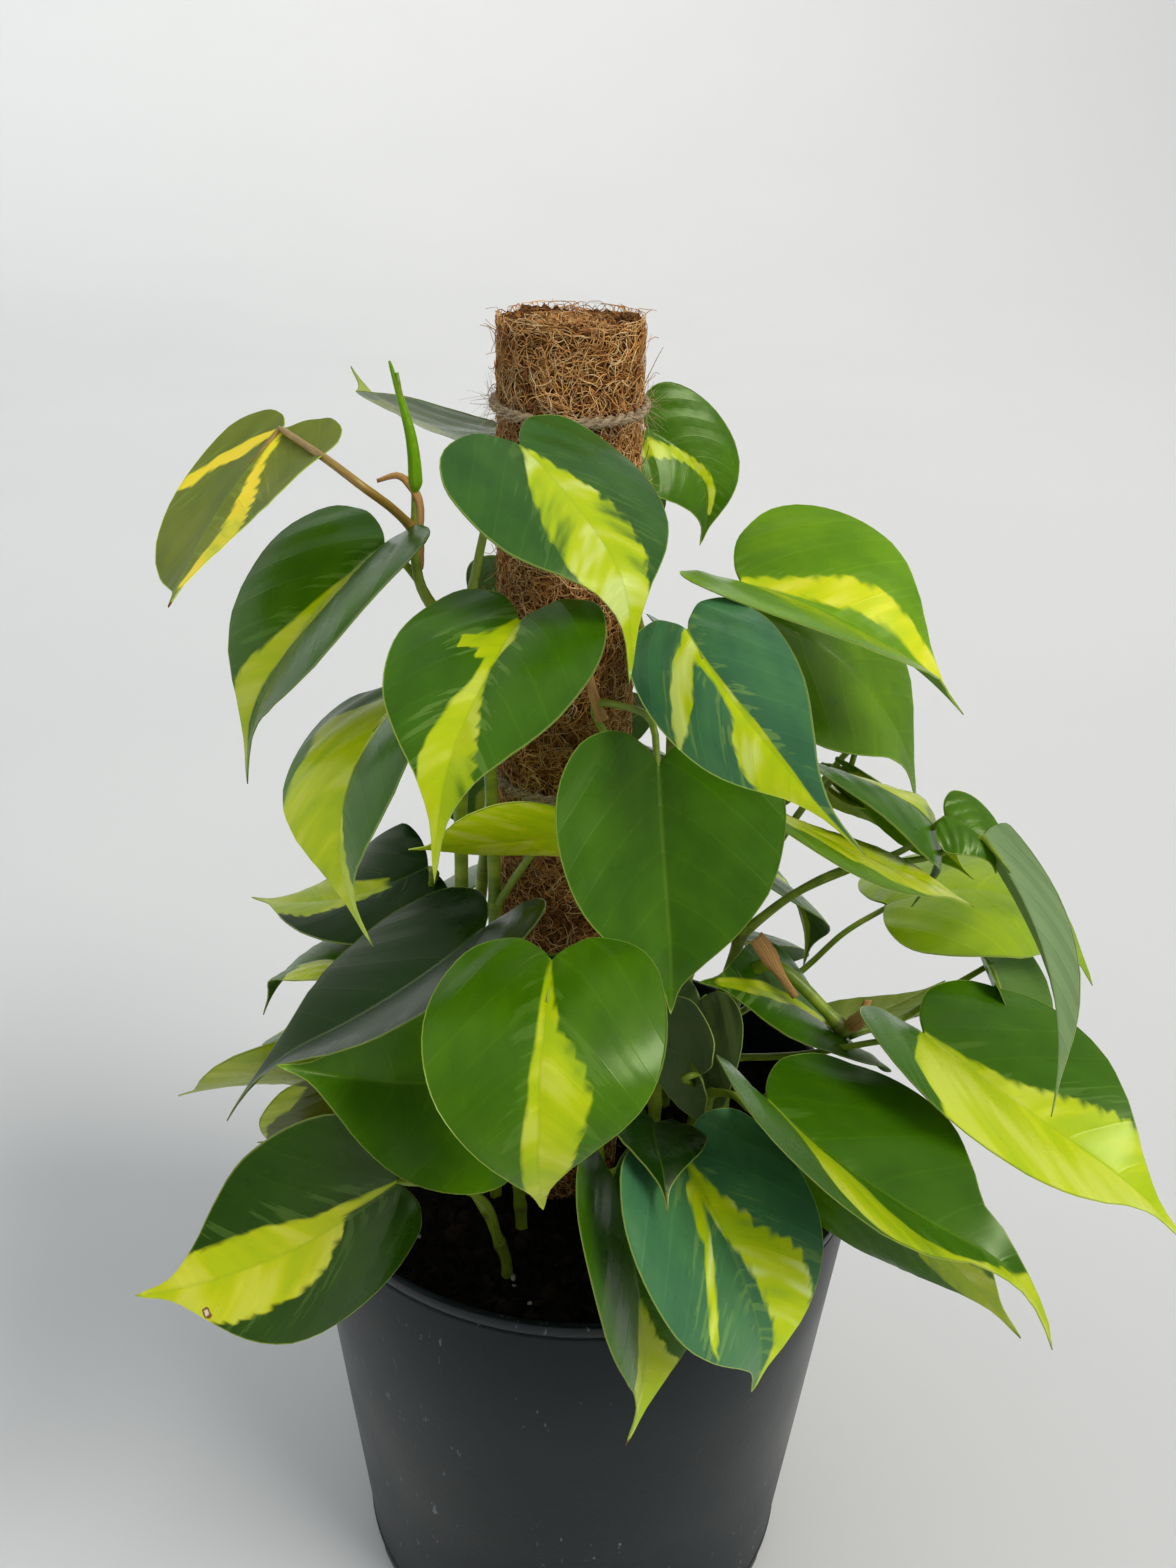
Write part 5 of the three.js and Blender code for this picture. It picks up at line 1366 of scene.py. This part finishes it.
def add_light(name, place, strength, spread, colour):
    """A wide far-off light, shining from its place toward the plant."""
    data = bpy.data.lights.new(name, "SUN")
    data.energy = strength
    data.angle = math.radians(spread)
    data.color = colour
    light = add_object(name, data)
    light.location = place
    light.rotation_mode = "QUATERNION"
    light.rotation_quaternion = (Vector((0, 0, 0.28)) - Vector(place)).to_track_quat("-Z", "Y")


def make_light():
    """Soft light from all round, with a window at the front right and a cool glow at the left."""
    bpy.context.scene.world = bpy.data.worlds.new("world")
    shader = Shader(bpy.context.scene.world, "Background")
    x, y, z = shader.parts(shader.place("Generated"))
    front = shader.mix(y.fade(-0.95, 0.2), (0.34, 0.335, 0.32), (0.80, 0.80, 0.795))
    sky = shader.mix(z.fade(0.25, 0.95), front, (0.86, 0.88, 0.90))
    side = shader.mix(x.fade(-0.8, 0.8), (0.70, 0.745, 0.79), (1.10, 1.06, 1.0))
    shader.finish(Color=shader.tint(sky, side), Strength=0.75)
    add_light("window", (1.25, -0.85, 1.5), 2.9, 30, (1.0, 0.97, 0.91))
    add_light("cool_side", (-1.5, -0.3, 1.1), 0.3, 40, (0.86, 0.94, 1.0))
    bpy.context.scene.view_settings.view_transform = "Standard"


def main():
    make_camera()
    make_stage()
    make_light()
    leaf_skins = [leaf_material("leaf_upper", False), leaf_material("leaf_underside", True)]
    make_vines([*leaf_skins, stalk_material(), sheath_material()])
    make_pot(pot_material())
    make_soil(soil_material("soil_bed", False), soil_material("soil_chips", True))
    # painted light: the coir fibres' mid and light tones are raised above coir's own colour to make up for
    # the shade the fibres cast on each other
    coir_fibre = fibre_material("coir_fibre", (0.24, 0.085, 0.022), (0.88, 0.45, 0.13), (1.0, 0.76, 0.40))
    make_mat(coir_material(), coir_fibre)
    jute = grained_material(
        "jute", 4, (700, 3, 0.6, 0.5), ((0.22, 0.14, 0.07), (0.52, 0.41, 0.26)), 0.85, (0.8, 0.0008))
    fuzz = fibre_material("jute_fuzz", (0.40, 0.30, 0.18), (0.55, 0.44, 0.28), (0.66, 0.56, 0.40))
    for tie in TIES:
        make_tie(*tie, jute, fuzz)
    wood = grained_material(
        "stake_wood", 0.04, (900, 4), ((0.30, 0.17, 0.07), (0.50, 0.34, 0.17)), 0.6, (0.4, 0.0006))
    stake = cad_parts["pole_stake"].data.materials
    stake.clear()
    stake.append(wood)


main()
